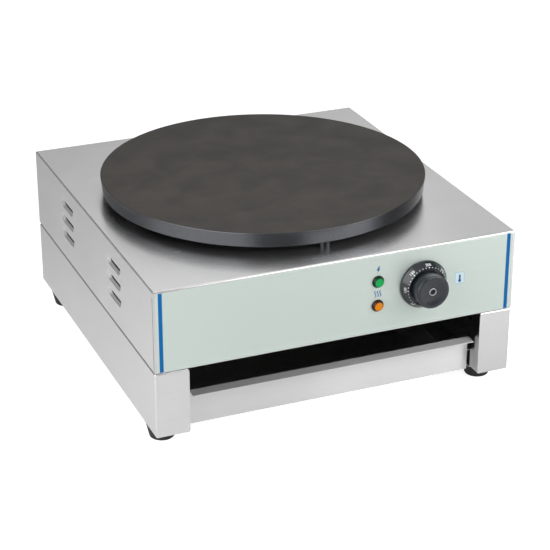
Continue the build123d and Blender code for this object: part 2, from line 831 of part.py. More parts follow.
with BuildPart() as stud_nuts:
    # A nut with its washer under the top sheet on each stud.
    with BuildSketch(Plane.XY.offset(top_underside - sheet)):
        with PolarLocations(post_circle_radius, post_count, start_angle=-90):
            Circle(stud_washer_diameter / 2)
    extrude(amount=sheet)
    with BuildSketch(Plane.XY.offset(top_underside - sheet - stud_nut_height)):
        with PolarLocations(post_circle_radius, post_count, start_angle=-90):
            RegularPolygon(stud_nut_flats / 2, 6, major_radius=False)
    extrude(amount=stud_nut_height)
    with BuildSketch(Plane.XY.offset(top_underside)):
        with PolarLocations(post_circle_radius, post_count, start_angle=-90):
            Circle(stud_diameter / 2 + thread_seat)
    extrude(amount=-sheet - stud_nut_height, mode=Mode.SUBTRACT)
stud_nuts.part.label = "stud_nuts"
export_step(stud_nuts.part, "parts/stud_nuts.step")

# ---- Heating ------------------------------------------------------------------------------------------

with BuildPart() as heating_element:
    # One tube bent into rings that turn back on themselves, its two ends led down beside each other.
    first_radius = element_ring_radii[0]
    last_radius = element_ring_radii[-1]
    with BuildLine() as element_path:
        FilletPolyline(
            (element_lead_x, first_radius, element_end_height),
            (element_lead_x, first_radius, element_z),
            (0, first_radius, element_z),
            radius=element_bend_radius,
        )
        far_angle = element_start_angle + element_ring_sweep
        for ring, radius in enumerate(element_ring_radii):
            outward_bound = ring % 2 == 0
            ring_start = element_start_angle if outward_bound else far_angle
            turn = 1 if outward_bound else -1
            CenterArc((0, 0, element_z), radius, ring_start, turn * element_ring_sweep)
            if radius != last_radius:
                next_radius = element_ring_radii[ring + 1]
                hairpin_angle = far_angle if outward_bound else element_start_angle
                middle = (radius + next_radius) / 2
                hairpin_x = middle * math.cos(math.radians(hairpin_angle))
                hairpin_y = middle * math.sin(math.radians(hairpin_angle))
                CenterArc(
                    (hairpin_x, hairpin_y, element_z), (radius - next_radius) / 2, hairpin_angle, turn * 180
                )
        FilletPolyline(
            (0, last_radius, element_z),
            (element_lead_x, last_radius, element_z),
            (element_lead_x, last_radius, element_end_height),
            radius=element_bend_radius,
        )
    with BuildSketch(Plane((element_lead_x, first_radius, element_end_height))):
        Circle(element_diameter / 2)
    sweep()
heating_element.part.label = "heating_element"
export_step(heating_element.part, "parts/heating_element.step")

with BuildPart() as element_pan:
    # A spun dish hung under the top sheet by its flange.
    with BuildSketch(Plane.XZ) as pan_section:
        add(
            folded(
                [
                    (pan_radius + pan_flange_width, top_underside),
                    (pan_radius, top_underside),
                    (pan_radius, pan_bottom),
                    (0, pan_bottom),
                ],
                Plane.XY,
                pan_corner_radius,
                pan_sheet,
                Side.LEFT,
            )
        )
    revolve(axis=Axis.Z)
    with BuildSketch(Plane.XY.offset(pan_bottom)):
        with Locations(*element_ends):
            Circle(element_diameter / 2 + element_hole_clearance)
        with Locations((capillary_x, bulb_y)):
            Circle(capillary_diameter / 2 + element_hole_clearance)
    extrude(amount=-pan_sheet, mode=Mode.SUBTRACT)
    with BuildSketch(Plane.XY.offset(top_underside)):
        with PolarLocations(rivet_circle_radius, pan_rivet_count):
            Circle(rivet_diameter / 2 + thread_seat)
    extrude(amount=-pan_sheet, mode=Mode.SUBTRACT)
element_pan.part.label = "element_pan"
export_step(element_pan.part, "parts/element_pan.step")

with BuildPart() as pan_rivets:
    # Each rivet's flat head lies on the top sheet and its bead under the pan's flange.
    bead_bottom = top_underside - pan_sheet - rivet_head_thickness
    with BuildSketch(Plane.XY.offset(housing_top), Plane.XY.offset(bead_bottom)):
        with PolarLocations(rivet_circle_radius, pan_rivet_count):
            Circle(rivet_head_diameter / 2)
    extrude(amount=rivet_head_thickness)
    with BuildSketch(Plane.XY.offset(top_underside - pan_sheet)):
        with PolarLocations(rivet_circle_radius, pan_rivet_count):
            Circle(rivet_diameter / 2)
    extrude(amount=sheet + pan_sheet)
pan_rivets.part.label = "pan_rivets"
export_step(pan_rivets.part, "parts/pan_rivets.step")

with BuildPart() as insulation_disc:
    # Ceramic-fibre board that lines the pan under the element.
    with BuildSketch(Plane.XY.offset(pan_bottom)):
        Circle(pan_radius - insulation_clearance)
        with Locations(*element_ends):
            Circle(element_diameter / 2 + element_hole_clearance, mode=Mode.SUBTRACT)
        with Locations((capillary_x, bulb_y)):
            Circle(capillary_diameter / 2 + element_hole_clearance, mode=Mode.SUBTRACT)
    extrude(amount=insulation_thickness)
    chamfer(
        insulation_disc.faces().sort_by(Axis.Z)[0].edges().sort_by(SortBy.LENGTH)[-1],
        length=pan_corner_radius + pan_sheet,
    )
insulation_disc.part.label = "insulation_disc"
export_step(insulation_disc.part, "parts/insulation_disc.step")

clamp_inner = element_ring_radii[-1] - clamp_bar_overhang
clamp_outer = element_ring_radii[0] + clamp_bar_overhang
with BuildPart() as element_clamps:
    # Radial bars that press the rings up against the plate.
    with BuildSketch(Plane.XY.offset(clamp_bottom)):
        with PolarLocations((clamp_inner + clamp_outer) / 2, clamp_count, start_angle=clamp_start_angle):
            SlotOverall(clamp_outer - clamp_inner, clamp_bar_width)
        for radius in clamp_boss_radii:
            with PolarLocations(radius, clamp_count, start_angle=clamp_start_angle):
                Circle(clamp_screw_diameter / 2 + hole_clearance, mode=Mode.SUBTRACT)
    extrude(amount=clamp_bar_thickness)
element_clamps.part.label = "element_clamps"
export_step(element_clamps.part, "parts/element_clamps.step")

with BuildPart() as clamp_screws:
    with BuildSketch(Plane.XY.offset(clamp_bottom - clamp_screw_head_height)):
        for radius in clamp_boss_radii:
            with PolarLocations(radius, clamp_count, start_angle=clamp_start_angle):
                Circle(screw_head_diameter / 2)
    extrude(amount=clamp_screw_head_height)
    with BuildSketch(Plane.XY.offset(clamp_bottom)):
        for radius in clamp_boss_radii:
            with PolarLocations(radius, clamp_count, start_angle=clamp_start_angle):
                Circle(clamp_screw_diameter / 2)
    extrude(amount=clamp_bar_thickness + clamp_screw_depth)
clamp_screws.part.label = "clamp_screws"
export_step(clamp_screws.part, "parts/clamp_screws.step")

# ---- Thermostat ---------------------------------------------------------------------------------------

thermostat_front = front_inner + thermostat_bracket_sheet
thermostat_back = thermostat_front + thermostat_depth
capsule_back = thermostat_back + capsule_depth
shaft_inner_end = front + shaft_depth_inside
with BuildPart() as thermostat_body:
    # Bracket on the front sheet, moulded case behind it, bushing through the sheet, capsule at the back.
    with BuildSketch(front_plane.offset(-sheet)):
        with Locations((knob_x, knob_z)):
            bracket_width = thermostat_width + 2 * thermostat_bracket_margin
            RectangleRounded(bracket_width, thermostat_height, thermostat_corner_radius)
            with GridLocations(thermostat_screw_pitch, 0, 2, 1):
                Circle(thermostat_screw_diameter / 2 + thread_seat, mode=Mode.SUBTRACT)
    extrude(amount=-thermostat_bracket_sheet)
    with BuildSketch(front_plane.offset(front - thermostat_front)):
        with Locations((knob_x, knob_z)):
            RectangleRounded(thermostat_width, thermostat_height, thermostat_corner_radius)
            with GridLocations(thermostat_screw_pitch, 0, 2, 1):
                Circle(thermostat_screw_diameter / 2 + thread_seat, mode=Mode.SUBTRACT)
    extrude(amount=-thermostat_depth)
    with BuildSketch(front_plane.offset(front - thermostat_back)):
        with Locations((knob_x, knob_z)):
            Circle(capsule_diameter / 2)
    extrude(amount=-capsule_depth)
    with BuildSketch(front_plane.offset(overlay_thickness)):
        with Locations((knob_x, knob_z)):
            Circle(bushing_diameter / 2)
    extrude(amount=-overlay_thickness - sheet - thermostat_bracket_sheet)
    with BuildSketch(front_plane.offset(overlay_thickness)):
        with Locations((knob_x, knob_z)):
            Circle(shaft_diameter / 2 + shaft_running_clearance)
    extrude(amount=-overlay_thickness - shaft_depth_inside - knob_running_gap, mode=Mode.SUBTRACT)
thermostat_body.part.label = "thermostat_body"
export_step(thermostat_body.part, "parts/thermostat_body.step")

with BuildPart() as thermostat_screws:
    # Flat heads on the front sheet, hidden behind the knob's skirt.
    with BuildSketch(front_plane.offset(overlay_thickness)):
        with Locations((knob_x, knob_z)):
            with GridLocations(thermostat_screw_pitch, 0, 2, 1):
                Circle(screw_head_diameter / 2)
    extrude(amount=thermostat_screw_head)
    with BuildSketch(front_plane.offset(overlay_thickness)):
        with Locations((knob_x, knob_z)):
            with GridLocations(thermostat_screw_pitch, 0, 2, 1):
                Circle(thermostat_screw_diameter / 2)
    extrude(amount=-overlay_thickness - sheet - thermostat_bracket_sheet - thermostat_screw_grip)
thermostat_screws.part.label = "thermostat_screws"
export_step(thermostat_screws.part, "parts/thermostat_screws.step")

with BuildPart() as thermostat_bulb:
    # Sensing bulb held against the plate, and the capillary that leads from it to the capsule.
    with BuildSketch(Plane.YZ.offset(-bulb_length / 2)):
        with Locations((bulb_y, bulb_z)):
            Circle(bulb_diameter / 2)
    extrude(amount=bulb_length)
    with BuildLine() as capillary_path:
        FilletPolyline(
            (bulb_length / 2, bulb_y, bulb_z),
            (capillary_x, bulb_y, bulb_z),
            (capillary_x, bulb_y, capillary_level),
            (knob_x, bulb_y - capillary_sweep_radius, capillary_level),
            (knob_x, capsule_back, knob_z),
            radius=capillary_bend_radius,
        )
    with BuildSketch(Plane.YZ.offset(bulb_length / 2)):
        with Locations((bulb_y, bulb_z)):
            Circle(capillary_diameter / 2)
    sweep(path=capillary_path.wire())
thermostat_bulb.part.label = "thermostat_bulb"
export_step(thermostat_bulb.part, "parts/thermostat_bulb.step")

with BuildPart() as thermostat_shaft:
    with BuildSketch(front_plane.offset(-shaft_depth_inside)):
        with Locations((knob_x, knob_z)):
            Circle(shaft_diameter / 2)
    extrude(amount=shaft_depth_inside + shaft_reach)
    # The flat that keys the knob.
    with BuildSketch(front_plane.offset(shaft_reach)):
        with Locations((knob_x, knob_z + shaft_diameter - shaft_flat_depth)):
            Rectangle(shaft_diameter, shaft_diameter)
    extrude(amount=-shaft_reach / 2, mode=Mode.SUBTRACT)
thermostat_shaft.part.label = "thermostat_shaft"
export_step(thermostat_shaft.part, "parts/thermostat_shaft.step")

# ---- Knob ---------------------------------------------------------------------------------------------

knob_profile_plane = turning_plane(knob_x, knob_z)
knob_axis = y_axis_at(knob_x, knob_z)
knob_back = overlay_thickness + knob_running_gap
skirt_half = skirt_diameter / 2
grip_half = grip_diameter / 2
skirt_top_half = skirt_top_diameter / 2
skirt_top = skirt_edge + skirt_rise
groove_floor = skirt_top - skirt_groove_depth
with BuildPart() as knob_skirt:
    # The dial: a steep cone, hollow behind, with a groove inside its lip where the grip starts.
    with BuildSketch(knob_profile_plane):
        Polygon(
            (grip_half - knob_wall, groove_floor),
            (skirt_top_half - skirt_lip_width, groove_floor),
            (skirt_top_half - skirt_lip_width, skirt_top),
            (skirt_top_half, skirt_top),
            (skirt_half, skirt_edge),
            (skirt_half, knob_back),
            (skirt_half - knob_wall / 2, knob_back),
            (skirt_half - knob_wall / 2, skirt_edge - knob_wall / 2),
            (skirt_top_half, groove_floor - knob_wall),
            (grip_half - knob_wall, groove_floor - knob_wall),
            align=None,
        )
    revolve(axis=knob_axis)
knob_skirt.part.label = "knob_skirt"
export_step(knob_skirt.part, "parts/knob_skirt.step")

with BuildPart() as knob_grip:
    # The grip: a hollow moulding whose hub takes the shaft, with a dished face.
    grip_face_half = grip_face_diameter / 2
    dish_half = grip_dish_diameter / 2
    dish_floor = grip_face_reach - grip_dish_depth
    with BuildSketch(knob_profile_plane) as grip_profile:
        with BuildLine():
            Polyline(
                (0, shaft_reach + thread_seat),
                (0, dish_floor),
            )
            TangentArc((0, dish_floor), (dish_half, grip_face_reach), tangent=(1, 0))
            Polyline(
                (dish_half, grip_face_reach),
                (grip_face_half, grip_face_reach),
                (grip_half, groove_floor),
                (grip_half - knob_wall, groove_floor),
                (grip_face_half - knob_wall, dish_floor - knob_wall),
                (knob_hub_diameter / 2, dish_floor - knob_wall),
                (knob_hub_diameter / 2, knob_back + knob_hub_recess),
                (shaft_diameter / 2 + thread_seat, knob_back + knob_hub_recess),
                (shaft_diameter / 2 + thread_seat, shaft_reach + thread_seat),
                (0, shaft_reach + thread_seat),
            )
        make_face()
        grip_edge = grip_profile.vertices().sort_by_distance((grip_face_half, grip_face_reach))[0]
        fillet(grip_edge, grip_edge_radius)
    revolve(axis=knob_axis)
    with BuildSketch(front_plane.offset(grip_face_reach)):
        with Locations((knob_x, knob_z)):
            Circle(knob_cap_diameter / 2 + thread_seat)
    extrude(amount=-grip_dish_depth - knob_cap_thickness / 2, mode=Mode.SUBTRACT)
knob_grip.part.label = "knob_grip"
export_step(knob_grip.part, "parts/knob_grip.step")

with BuildPart() as knob_cap:
    # A plain round insert that closes the centre of the dish.
    with BuildSketch(front_plane.offset(dish_floor - knob_cap_thickness / 2)):
        with Locations((knob_x, knob_z)):
            Circle(knob_cap_diameter / 2)
    extrude(amount=knob_cap_thickness)
knob_cap.part.label = "knob_cap"
export_step(knob_cap.part, "parts/knob_cap.step")

# ---- Pilot lamps --------------------------------------------------------------------------------------

for lamp, lamp_z in lamp_heights.items():
    lamp_plane = turning_plane(lamp_x, lamp_z)
    with BuildPart() as lamp_lens:
        # A clear cap with a bevelled edge that sits on the overlay.
        with BuildSketch(lamp_plane):
            Polygon(
                (0, overlay_thickness),
                (lens_diameter / 2, overlay_thickness),
                (lens_diameter / 2, overlay_thickness + lens_flange),
                (lens_face_diameter / 2, overlay_thickness + lens_height),
                (0, overlay_thickness + lens_height),
                align=None,
            )
        revolve(axis=y_axis_at(lamp_x, lamp_z))
    lamp_lens.part.label = f"{lamp}_lamp_lens"
    export_step(lamp_lens.part, f"parts/{lamp}_lamp_lens.step")

    with BuildPart() as lamp_body:
        # The barrel through the sheet with two blade terminals behind.
        with BuildSketch(front_plane.offset(overlay_thickness)):
            with Locations((lamp_x, lamp_z)):
                Circle(lamp_barrel_diameter / 2)
        extrude(amount=-overlay_thickness - lamp_barrel_length)
        with BuildSketch(front_plane.offset(-lamp_barrel_length)):
            with Locations((lamp_x, lamp_z)):
                with GridLocations(blade_pitch, 0, 2, 1):
                    Rectangle(blade_thickness, blade_width)
        extrude(amount=-blade_length)
    lamp_body.part.label = f"{lamp}_lamp_body"
    export_step(lamp_body.part, f"parts/{lamp}_lamp_body.step")

with BuildPart() as lamp_clips:
    # Push-on rings that hold the barrels against the back of the front sheet.
    with BuildSketch(front_plane.offset(-sheet)):
        with Locations(*[(lamp_x, z) for z in lamp_heights.values()]):
            Circle(lamp_barrel_diameter / 2 + lamp_clip_width)
            Circle(lamp_barrel_diameter / 2 + thread_seat, mode=Mode.SUBTRACT)
    extrude(amount=-lamp_clip_thickness)
lamp_clips.part.label = "lamp_clips"
export_step(lamp_clips.part, "parts/lamp_clips.step")

# ---- Supply side --------------------------------------------------------------------------------------

with BuildPart() as safety_cutout:
    # A bimetal cut-out on the underside of the pan, with two blade terminals.
    with BuildSketch(Plane.XY.offset(pan_bottom - pan_sheet)):
        with Locations((cutout_x, cutout_y)):
            SlotOverall(cutout_ear_span, cutout_diameter)
    extrude(amount=-sheet)
    with BuildSketch(Plane.XY.offset(pan_bottom - pan_sheet - sheet)):
        with Locations((cutout_x, cutout_y)):
            Circle(cutout_diameter / 2)
    extrude(amount=-cutout_height)
    with BuildSketch(Plane.XY.offset(pan_bottom - pan_sheet - sheet - cutout_height)):
        with Locations((cutout_x, cutout_y)):
            with GridLocations(blade_pitch, 0, 2, 1):
                Rectangle(blade_thickness, blade_width)
    extrude(amount=-blade_length)
safety_cutout.part.label = "safety_cutout"
export_step(safety_cutout.part, "parts/safety_cutout.step")

terminal_y = back - terminal_inset - terminal_block_depth / 2
terminal_pitch = terminal_block_width / (terminal_poles + 1)
with BuildPart() as terminal_block:
    # A ceramic block on the floor, bored through for its poles.
    with BuildSketch(Plane.XY.offset(floor_top)):
        with Locations((gland_x, terminal_y)):
            RectangleRounded(terminal_block_width, terminal_block_depth, terminal_corner_radius)
            with GridLocations(terminal_pitch, 0, terminal_poles, 1):
                Circle(screw_diameter / 2, mode=Mode.SUBTRACT)
    extrude(amount=terminal_block_height)
    with BuildSketch(Plane.XZ.offset(-(terminal_y + terminal_block_depth / 2))):
        with Locations((gland_x, floor_top + terminal_block_height / 2)):
            with GridLocations(terminal_pitch, 0, terminal_poles, 1):
                Circle(terminal_bore_diameter / 2)
    extrude(amount=terminal_block_depth, mode=Mode.SUBTRACT)
terminal_block.part.label = "terminal_block"
export_step(terminal_block.part, "parts/terminal_block.step")

with BuildPart() as terminal_barrels:
    # The brass barrels in the block's bores.
    with BuildSketch(Plane.XZ.offset(-(terminal_y + terminal_block_depth / 2 - sheet))):
        with Locations((gland_x, floor_top + terminal_block_height / 2)):
            with GridLocations(terminal_pitch, 0, terminal_poles, 1):
                Circle(terminal_bore_diameter / 2 - thread_seat)
                Circle(terminal_wire_diameter / 2, mode=Mode.SUBTRACT)
    extrude(amount=terminal_block_depth - 2 * sheet)
terminal_barrels.part.label = "terminal_barrels"
export_step(terminal_barrels.part, "parts/terminal_barrels.step")

gland_plane = Plane(origin=(gland_x, back, gland_z), x_dir=(1, 0, 0), z_dir=(0, 0, 1))
gland_axis = y_axis_at(gland_x, gland_z)
gland_face_plane = Plane(origin=(gland_x, back, gland_z), x_dir=(-1, 0, 0), z_dir=(0, 1, 0))
gland_half = gland_thread_diameter / 2
gland_neck_half = gland_half - gland_neck_step
gland_neck_end = gland_flange_thickness + gland_neck_length
gland_seal_start = gland_flange_thickness - sheet
gland_seal_half = gland_neck_half - gland_dome_wall
with BuildPart() as gland_body:
    # Threaded stub through the panel, hexagonal flange on it, and a neck for the dome nut.
    with BuildSketch(gland_face_plane):
        RegularPolygon(gland_flange_flats / 2, 6, major_radius=False)
    extrude(amount=gland_flange_thickness)
    with BuildSketch(gland_face_plane.offset(-gland_inside_length)):
        Circle(gland_half)
    extrude(amount=gland_inside_length)
    with BuildSketch(gland_face_plane.offset(gland_flange_thickness)):
        Circle(gland_neck_half)
    extrude(amount=gland_neck_length)
    with BuildSketch(gland_face_plane.offset(-gland_inside_length)):
        Circle(gland_seal_bore / 2 + sheet)
    extrude(amount=gland_inside_length + gland_neck_end, mode=Mode.SUBTRACT)
    with BuildSketch(gland_face_plane.offset(gland_seal_start)):
        Circle(gland_seal_half + thread_seat)
    extrude(amount=gland_neck_end - gland_seal_start, mode=Mode.SUBTRACT)
gland_body.part.label = "gland_body"
export_step(gland_body.part, "parts/gland_body.step")

with BuildPart() as gland_seal:
    with BuildSketch(gland_face_plane.offset(gland_seal_start)):
        Circle(gland_seal_half)
        Circle(gland_seal_bore / 2, mode=Mode.SUBTRACT)
    extrude(amount=gland_seal_length)
gland_seal.part.label = "gland_seal"
export_step(gland_seal.part, "parts/gland_seal.step")

with BuildPart() as gland_dome_nut:
    # A hexagonal skirt that closes in a dome round the seal.
    dome_start = gland_flange_thickness + gland_dome_gap
    dome_end = gland_flange_thickness + gland_dome_length
    dome_half = gland_half + sheet
    dome_mouth = gland_seal_bore / 2 + gland_lip_clearance
    with BuildSketch(gland_plane) as dome_profile:
        with BuildLine():
            Polyline(
                (gland_neck_half + thread_seat, gland_neck_end + sheet),
                (gland_neck_half + thread_seat, dome_start),
                (dome_half, dome_start),
                (dome_half, dome_start + gland_dome_length / 2),
            )
            ThreePointArc(
                (dome_half, dome_start + gland_dome_length / 2),
                (dome_half - gland_dome_shoulder, dome_end - gland_dome_drop),
                (dome_mouth + gland_lip_width, dome_end),
            )
            Polyline(
                (dome_mouth + gland_lip_width, dome_end),
                (dome_mouth, dome_end),
                (dome_mouth, gland_seal_start + gland_seal_length + thread_seat),
                (gland_seal_half + thread_seat, gland_seal_start + gland_seal_length + thread_seat),
                (gland_seal_half + thread_seat, gland_neck_end + sheet),
                (gland_neck_half + thread_seat, gland_neck_end + sheet),
            )
        make_face()
    revolve(axis=gland_axis)
    with BuildSketch(gland_face_plane.offset(dome_start)):
        RegularPolygon(gland_half + sheet, 6, major_radius=False)
        Circle(gland_half, mode=Mode.SUBTRACT)
    extrude(amount=gland_dome_length / 2)
gland_dome_nut.part.label = "gland_dome_nut"
export_step(gland_dome_nut.part, "parts/gland_dome_nut.step")

with BuildPart() as gland_locknut:
    with BuildSketch(gland_face_plane.offset(-sheet)):
        RegularPolygon(gland_flange_flats / 2, 6, major_radius=False)
        Circle(gland_half + thread_seat, mode=Mode.SUBTRACT)
    extrude(amount=-gland_locknut_thickness)
gland_locknut.part.label = "gland_locknut"
export_step(gland_locknut.part, "parts/gland_locknut.step")

earth_plane = Plane(origin=(earth_x, back, earth_z), x_dir=(-1, 0, 0), z_dir=(0, 1, 0))
with BuildPart() as earth_stud:
    # The bonding stud, its free end open to a ring terminal.
    with BuildSketch(earth_plane.offset(-sheet - earth_nut_height - sheet)):
        Circle(earth_stud_diameter / 2)
    extrude(amount=sheet + earth_nut_height + sheet + earth_stud_reach)
earth_stud.part.label = "earth_stud"
export_step(earth_stud.part, "parts/earth_stud.step")

with BuildPart() as earth_nuts:
    # One nut clamps the stud from inside the panel and one from outside.
    with BuildSketch(earth_plane, earth_plane.offset(-sheet - earth_nut_height)):
        RegularPolygon(earth_nut_flats / 2, 6, major_radius=False)
        Circle(earth_stud_diameter / 2 + thread_seat, mode=Mode.SUBTRACT)
    extrude(amount=earth_nut_height)
earth_nuts.part.label = "earth_nuts"
export_step(earth_nuts.part, "parts/earth_nuts.step")
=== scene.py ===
"""Looks of a countertop electric crepe maker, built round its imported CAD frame."""

import logging
import math
from collections.abc import Callable, Iterator, Mapping, Sequence
from contextlib import contextmanager
from dataclasses import dataclass, field
from enum import Enum
from functools import partial
from typing import Any

import bmesh
import bpy
from mathutils import Matrix, Vector


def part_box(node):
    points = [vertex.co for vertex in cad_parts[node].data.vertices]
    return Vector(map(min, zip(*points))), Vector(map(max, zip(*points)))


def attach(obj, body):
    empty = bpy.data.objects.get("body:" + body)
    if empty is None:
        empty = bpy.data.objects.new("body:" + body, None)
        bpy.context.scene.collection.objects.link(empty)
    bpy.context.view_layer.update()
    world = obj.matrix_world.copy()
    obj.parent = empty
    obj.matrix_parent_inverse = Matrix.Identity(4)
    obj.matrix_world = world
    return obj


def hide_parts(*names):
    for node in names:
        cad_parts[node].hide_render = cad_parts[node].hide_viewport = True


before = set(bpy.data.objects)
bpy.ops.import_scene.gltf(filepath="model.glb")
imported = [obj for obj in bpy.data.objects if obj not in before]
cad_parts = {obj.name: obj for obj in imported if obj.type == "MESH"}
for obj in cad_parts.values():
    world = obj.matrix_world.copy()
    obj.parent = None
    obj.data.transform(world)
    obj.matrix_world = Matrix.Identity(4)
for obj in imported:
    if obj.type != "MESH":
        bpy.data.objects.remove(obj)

log = logging.getLogger("crepe_maker")

MM = 0.001
FORWARD = Vector((0, -1, 0))
WHITE = "#FFFFFF"
# The whole range of a noise or a mask.
WHOLE = (0.0, 1.0)
# A ring texture has one ring in this much of its scaled coordinates.
RING = math.tau / 20
Point = tuple[float, float]
Point3 = tuple[float, float, float]
Piece = bpy.types.Object
Node = bpy.types.Node
Adder = Callable[..., Node]


# ---- Colours and nodes ----


def linear(code: str) -> tuple[float, float, float, float]:
    """Turn an sRGB hex colour into the linear colour that a shader takes.

    Args:
        code: The colour as "#RRGGBB".

    Returns:
        Linear red, green and blue with full opacity.
    """
    parts = [int(code[i : i + 2], 16) / 255 for i in (1, 3, 5)]
    red, green, blue = (p / 12.92 if p <= 0.04045 else ((p + 0.055) / 1.055) ** 2.4 for p in parts)
    return red, green, blue, 1.0


def add_node(
    tree: bpy.types.NodeTree,
    kind: str,
    inputs: Mapping[str | int, Any] | Sequence[Any] = (),
    **settings: Any,
) -> Node:
    """Add one node, set what it is given and link what comes from other nodes.

    Args:
        tree: The node tree that takes the node.
        kind: The node's type, without the words that every shader node's type starts with.
        inputs: What goes into its sockets, by name or number or in their order: values, hex
            colours, outputs, or nodes, of which the first output in use is meant.
        settings: Properties of the node itself.

    Returns:
        The new node.
    """
    node = tree.nodes.new(f"ShaderNode{kind}")
    for name, value in settings.items():
        setattr(node, name, value)
    for name, value in inputs.items() if isinstance(inputs, Mapping) else enumerate(inputs):
        if isinstance(value, Node):
            value = next(output for output in value.outputs if output.enabled)
        if isinstance(value, bpy.types.NodeSocket):
            tree.links.new(value, node.inputs[name])
        else:
            value = linear(value) if isinstance(value, str) else value
            node.inputs[name].default_value = value
    return node


def cleared(owner: bpy.types.Material | bpy.types.World) -> Adder:
    """Empty the node tree of a material or a world.

    Args:
        owner: What has the tree.

    Returns:
        What adds nodes to that tree.
    """
    owner.use_nodes = True
    owner.node_tree.nodes.clear()
    return partial(add_node, owner.node_tree)


def per_mm(size: float) -> float:
    """The texture scale at which one feature is that many millimetres long."""
    return 1000 / size


# ---- Finishes ----


@dataclass(frozen=True)
class Finish:
    """What a surface is made of and how it was worked."""

    name: str

    def material(self) -> bpy.types.Material:
        """Build the material once and hand out the same one after that.

        Returns:
            The material.
        """
        made = bpy.data.materials.get(self.name)
        if made is None:
            made = bpy.data.materials.new(self.name)
            add = cleared(made)
            add("OutputMaterial", {"Surface": add("BsdfPrincipled", self.pattern(add))})
        return made

    def pattern(self, add: Adder) -> dict[str, Any]:
        """Lay this finish's pattern.

        Args:
            add: Adds a node to the material.

        Returns:
            What the shader takes in.
        """
        raise NotImplementedError


class Grain(Enum):
    """Which way the brushing belt ran over a sheet.

    Each has the axes across its fine lines, the belt's way over most of the sheet, and its way
    over the faces that look to the sides.
    """

    ROUND_THE_BLANK = ("Y", (1.0, 0.0, 0.0), (0.0, 0.0, 1.0))
    LEVEL = ("Z", (1.0, 0.0, 0.0), (0.0, 1.0, 0.0))
    TO_THE_BACK = ("XZ", (0.05, 1.0, 0.05), (0.0, 1.0, 0.0))


@dataclass(frozen=True)
class BrushedStainless(Finish):
    """Stainless sheet, belt-brushed: long fine lines that blur what it mirrors across the grain."""

    grain: Grain = Grain.ROUND_THE_BLANK
    valley: str = "#C8C8C8"
    ridge: str = "#CCCCCC"
    roughness: float = 0.26
    unevenness: float = 0.006
    spread: float = 0.7
    line_width: float = 0.7
    line_length: float = 140.0
    worked: Point = (0.32, 0.68)
    rubbed: Point = (0.3, 0.7)
    cloud: float = 130.0
    cloudy: Point = (0.35, 0.65)
    shading: Point = (0.97, 1.03)
    smudge: float = 0.012
    smudged: Point = (0.45, 0.75)

    def lines(self, add: Adder, place: bpy.types.NodeSocket, grain: Grain) -> Node:
        """Draw the brushed lines of one grain.

        Args:
            add: Adds a node to the material.
            place: Where the sheet is looked at.
            grain: Which way the belt ran.

        Returns:
            The noise that draws them.
        """
        fine, long = per_mm(self.line_width), per_mm(self.line_length)
        scale = [fine if axis in grain.value[0] else long for axis in "XYZ"]
        drawn = add("Mapping", {"Vector": place, "Scale": scale})
        strength = {"Scale": 1.0, "Detail": 4.0, "Roughness": 0.6}
        return add("TexNoise", {"Vector": drawn, **strength})

    def pattern(self, add: Adder) -> dict[str, Any]:
        """Lay the brushed lines, the sheet's slow clouds and faint handling marks.

        Args:
            add: Adds a node to the material.

        Returns:
            What the shader takes in.
        """
        coordinates = add("TexCoord").outputs
        place, normal = coordinates["Object"], coordinates["Normal"]
        facing = add("SeparateXYZ", [normal]).outputs
        lines = self.lines(add, place, self.grain)
        if self.grain is Grain.ROUND_THE_BLANK:
            # The front of the blank is folded down from the top, so its lines run on along X.
            level = self.lines(add, place, Grain.LEVEL)
            forward = add("Math", [facing["Y"]], operation="ABSOLUTE")
            lines = add("Mix", {0: forward, 2: lines, 3: level})
        worked = add("MapRange", (lines, *self.worked))
        tone = add("Mix", {0: worked, 6: self.valley, 7: self.ridge}, data_type="RGBA")
        clouds = add("TexNoise", {"Vector": place, "Scale": per_mm(self.cloud), "Detail": 2.0})
        shade = add("MapRange", (clouds, *self.cloudy, *self.shading))
        ends = (self.roughness + self.unevenness, self.roughness - self.unevenness)
        rough = add("MapRange", (lines, *self.rubbed, *ends))
        hand = {"Scale": per_mm(self.cloud / 4), "Detail": 5.0, "Distortion": 0.6}
        marks = add("TexNoise", {"Vector": place, **hand})
        handled = add("MapRange", (marks, *self.smudged, 0.0, self.smudge))
        # What the sheet mirrors is drawn out across the grain.
        sideways = add("Math", [facing["X"]], operation="ABSOLUTE")
        _, main, side = self.grain.value
        way = add("Mix", {0: sideways, 4: main, 5: side}, data_type="VECTOR")
        return {
            "Metallic": 1.0,
            "Base Color": add("VectorMath", (tone, shade), operation="MULTIPLY"),
            "Roughness": add("Math", (rough, handled)),
            "Normal": add("Bump", {"Height": lines, "Strength": 0.01, "Distance": 0.03 * MM}),
            "Anisotropic": self.spread,
            "Tangent": add("VectorMath", (normal, way), operation="CROSS_PRODUCT"),
        }


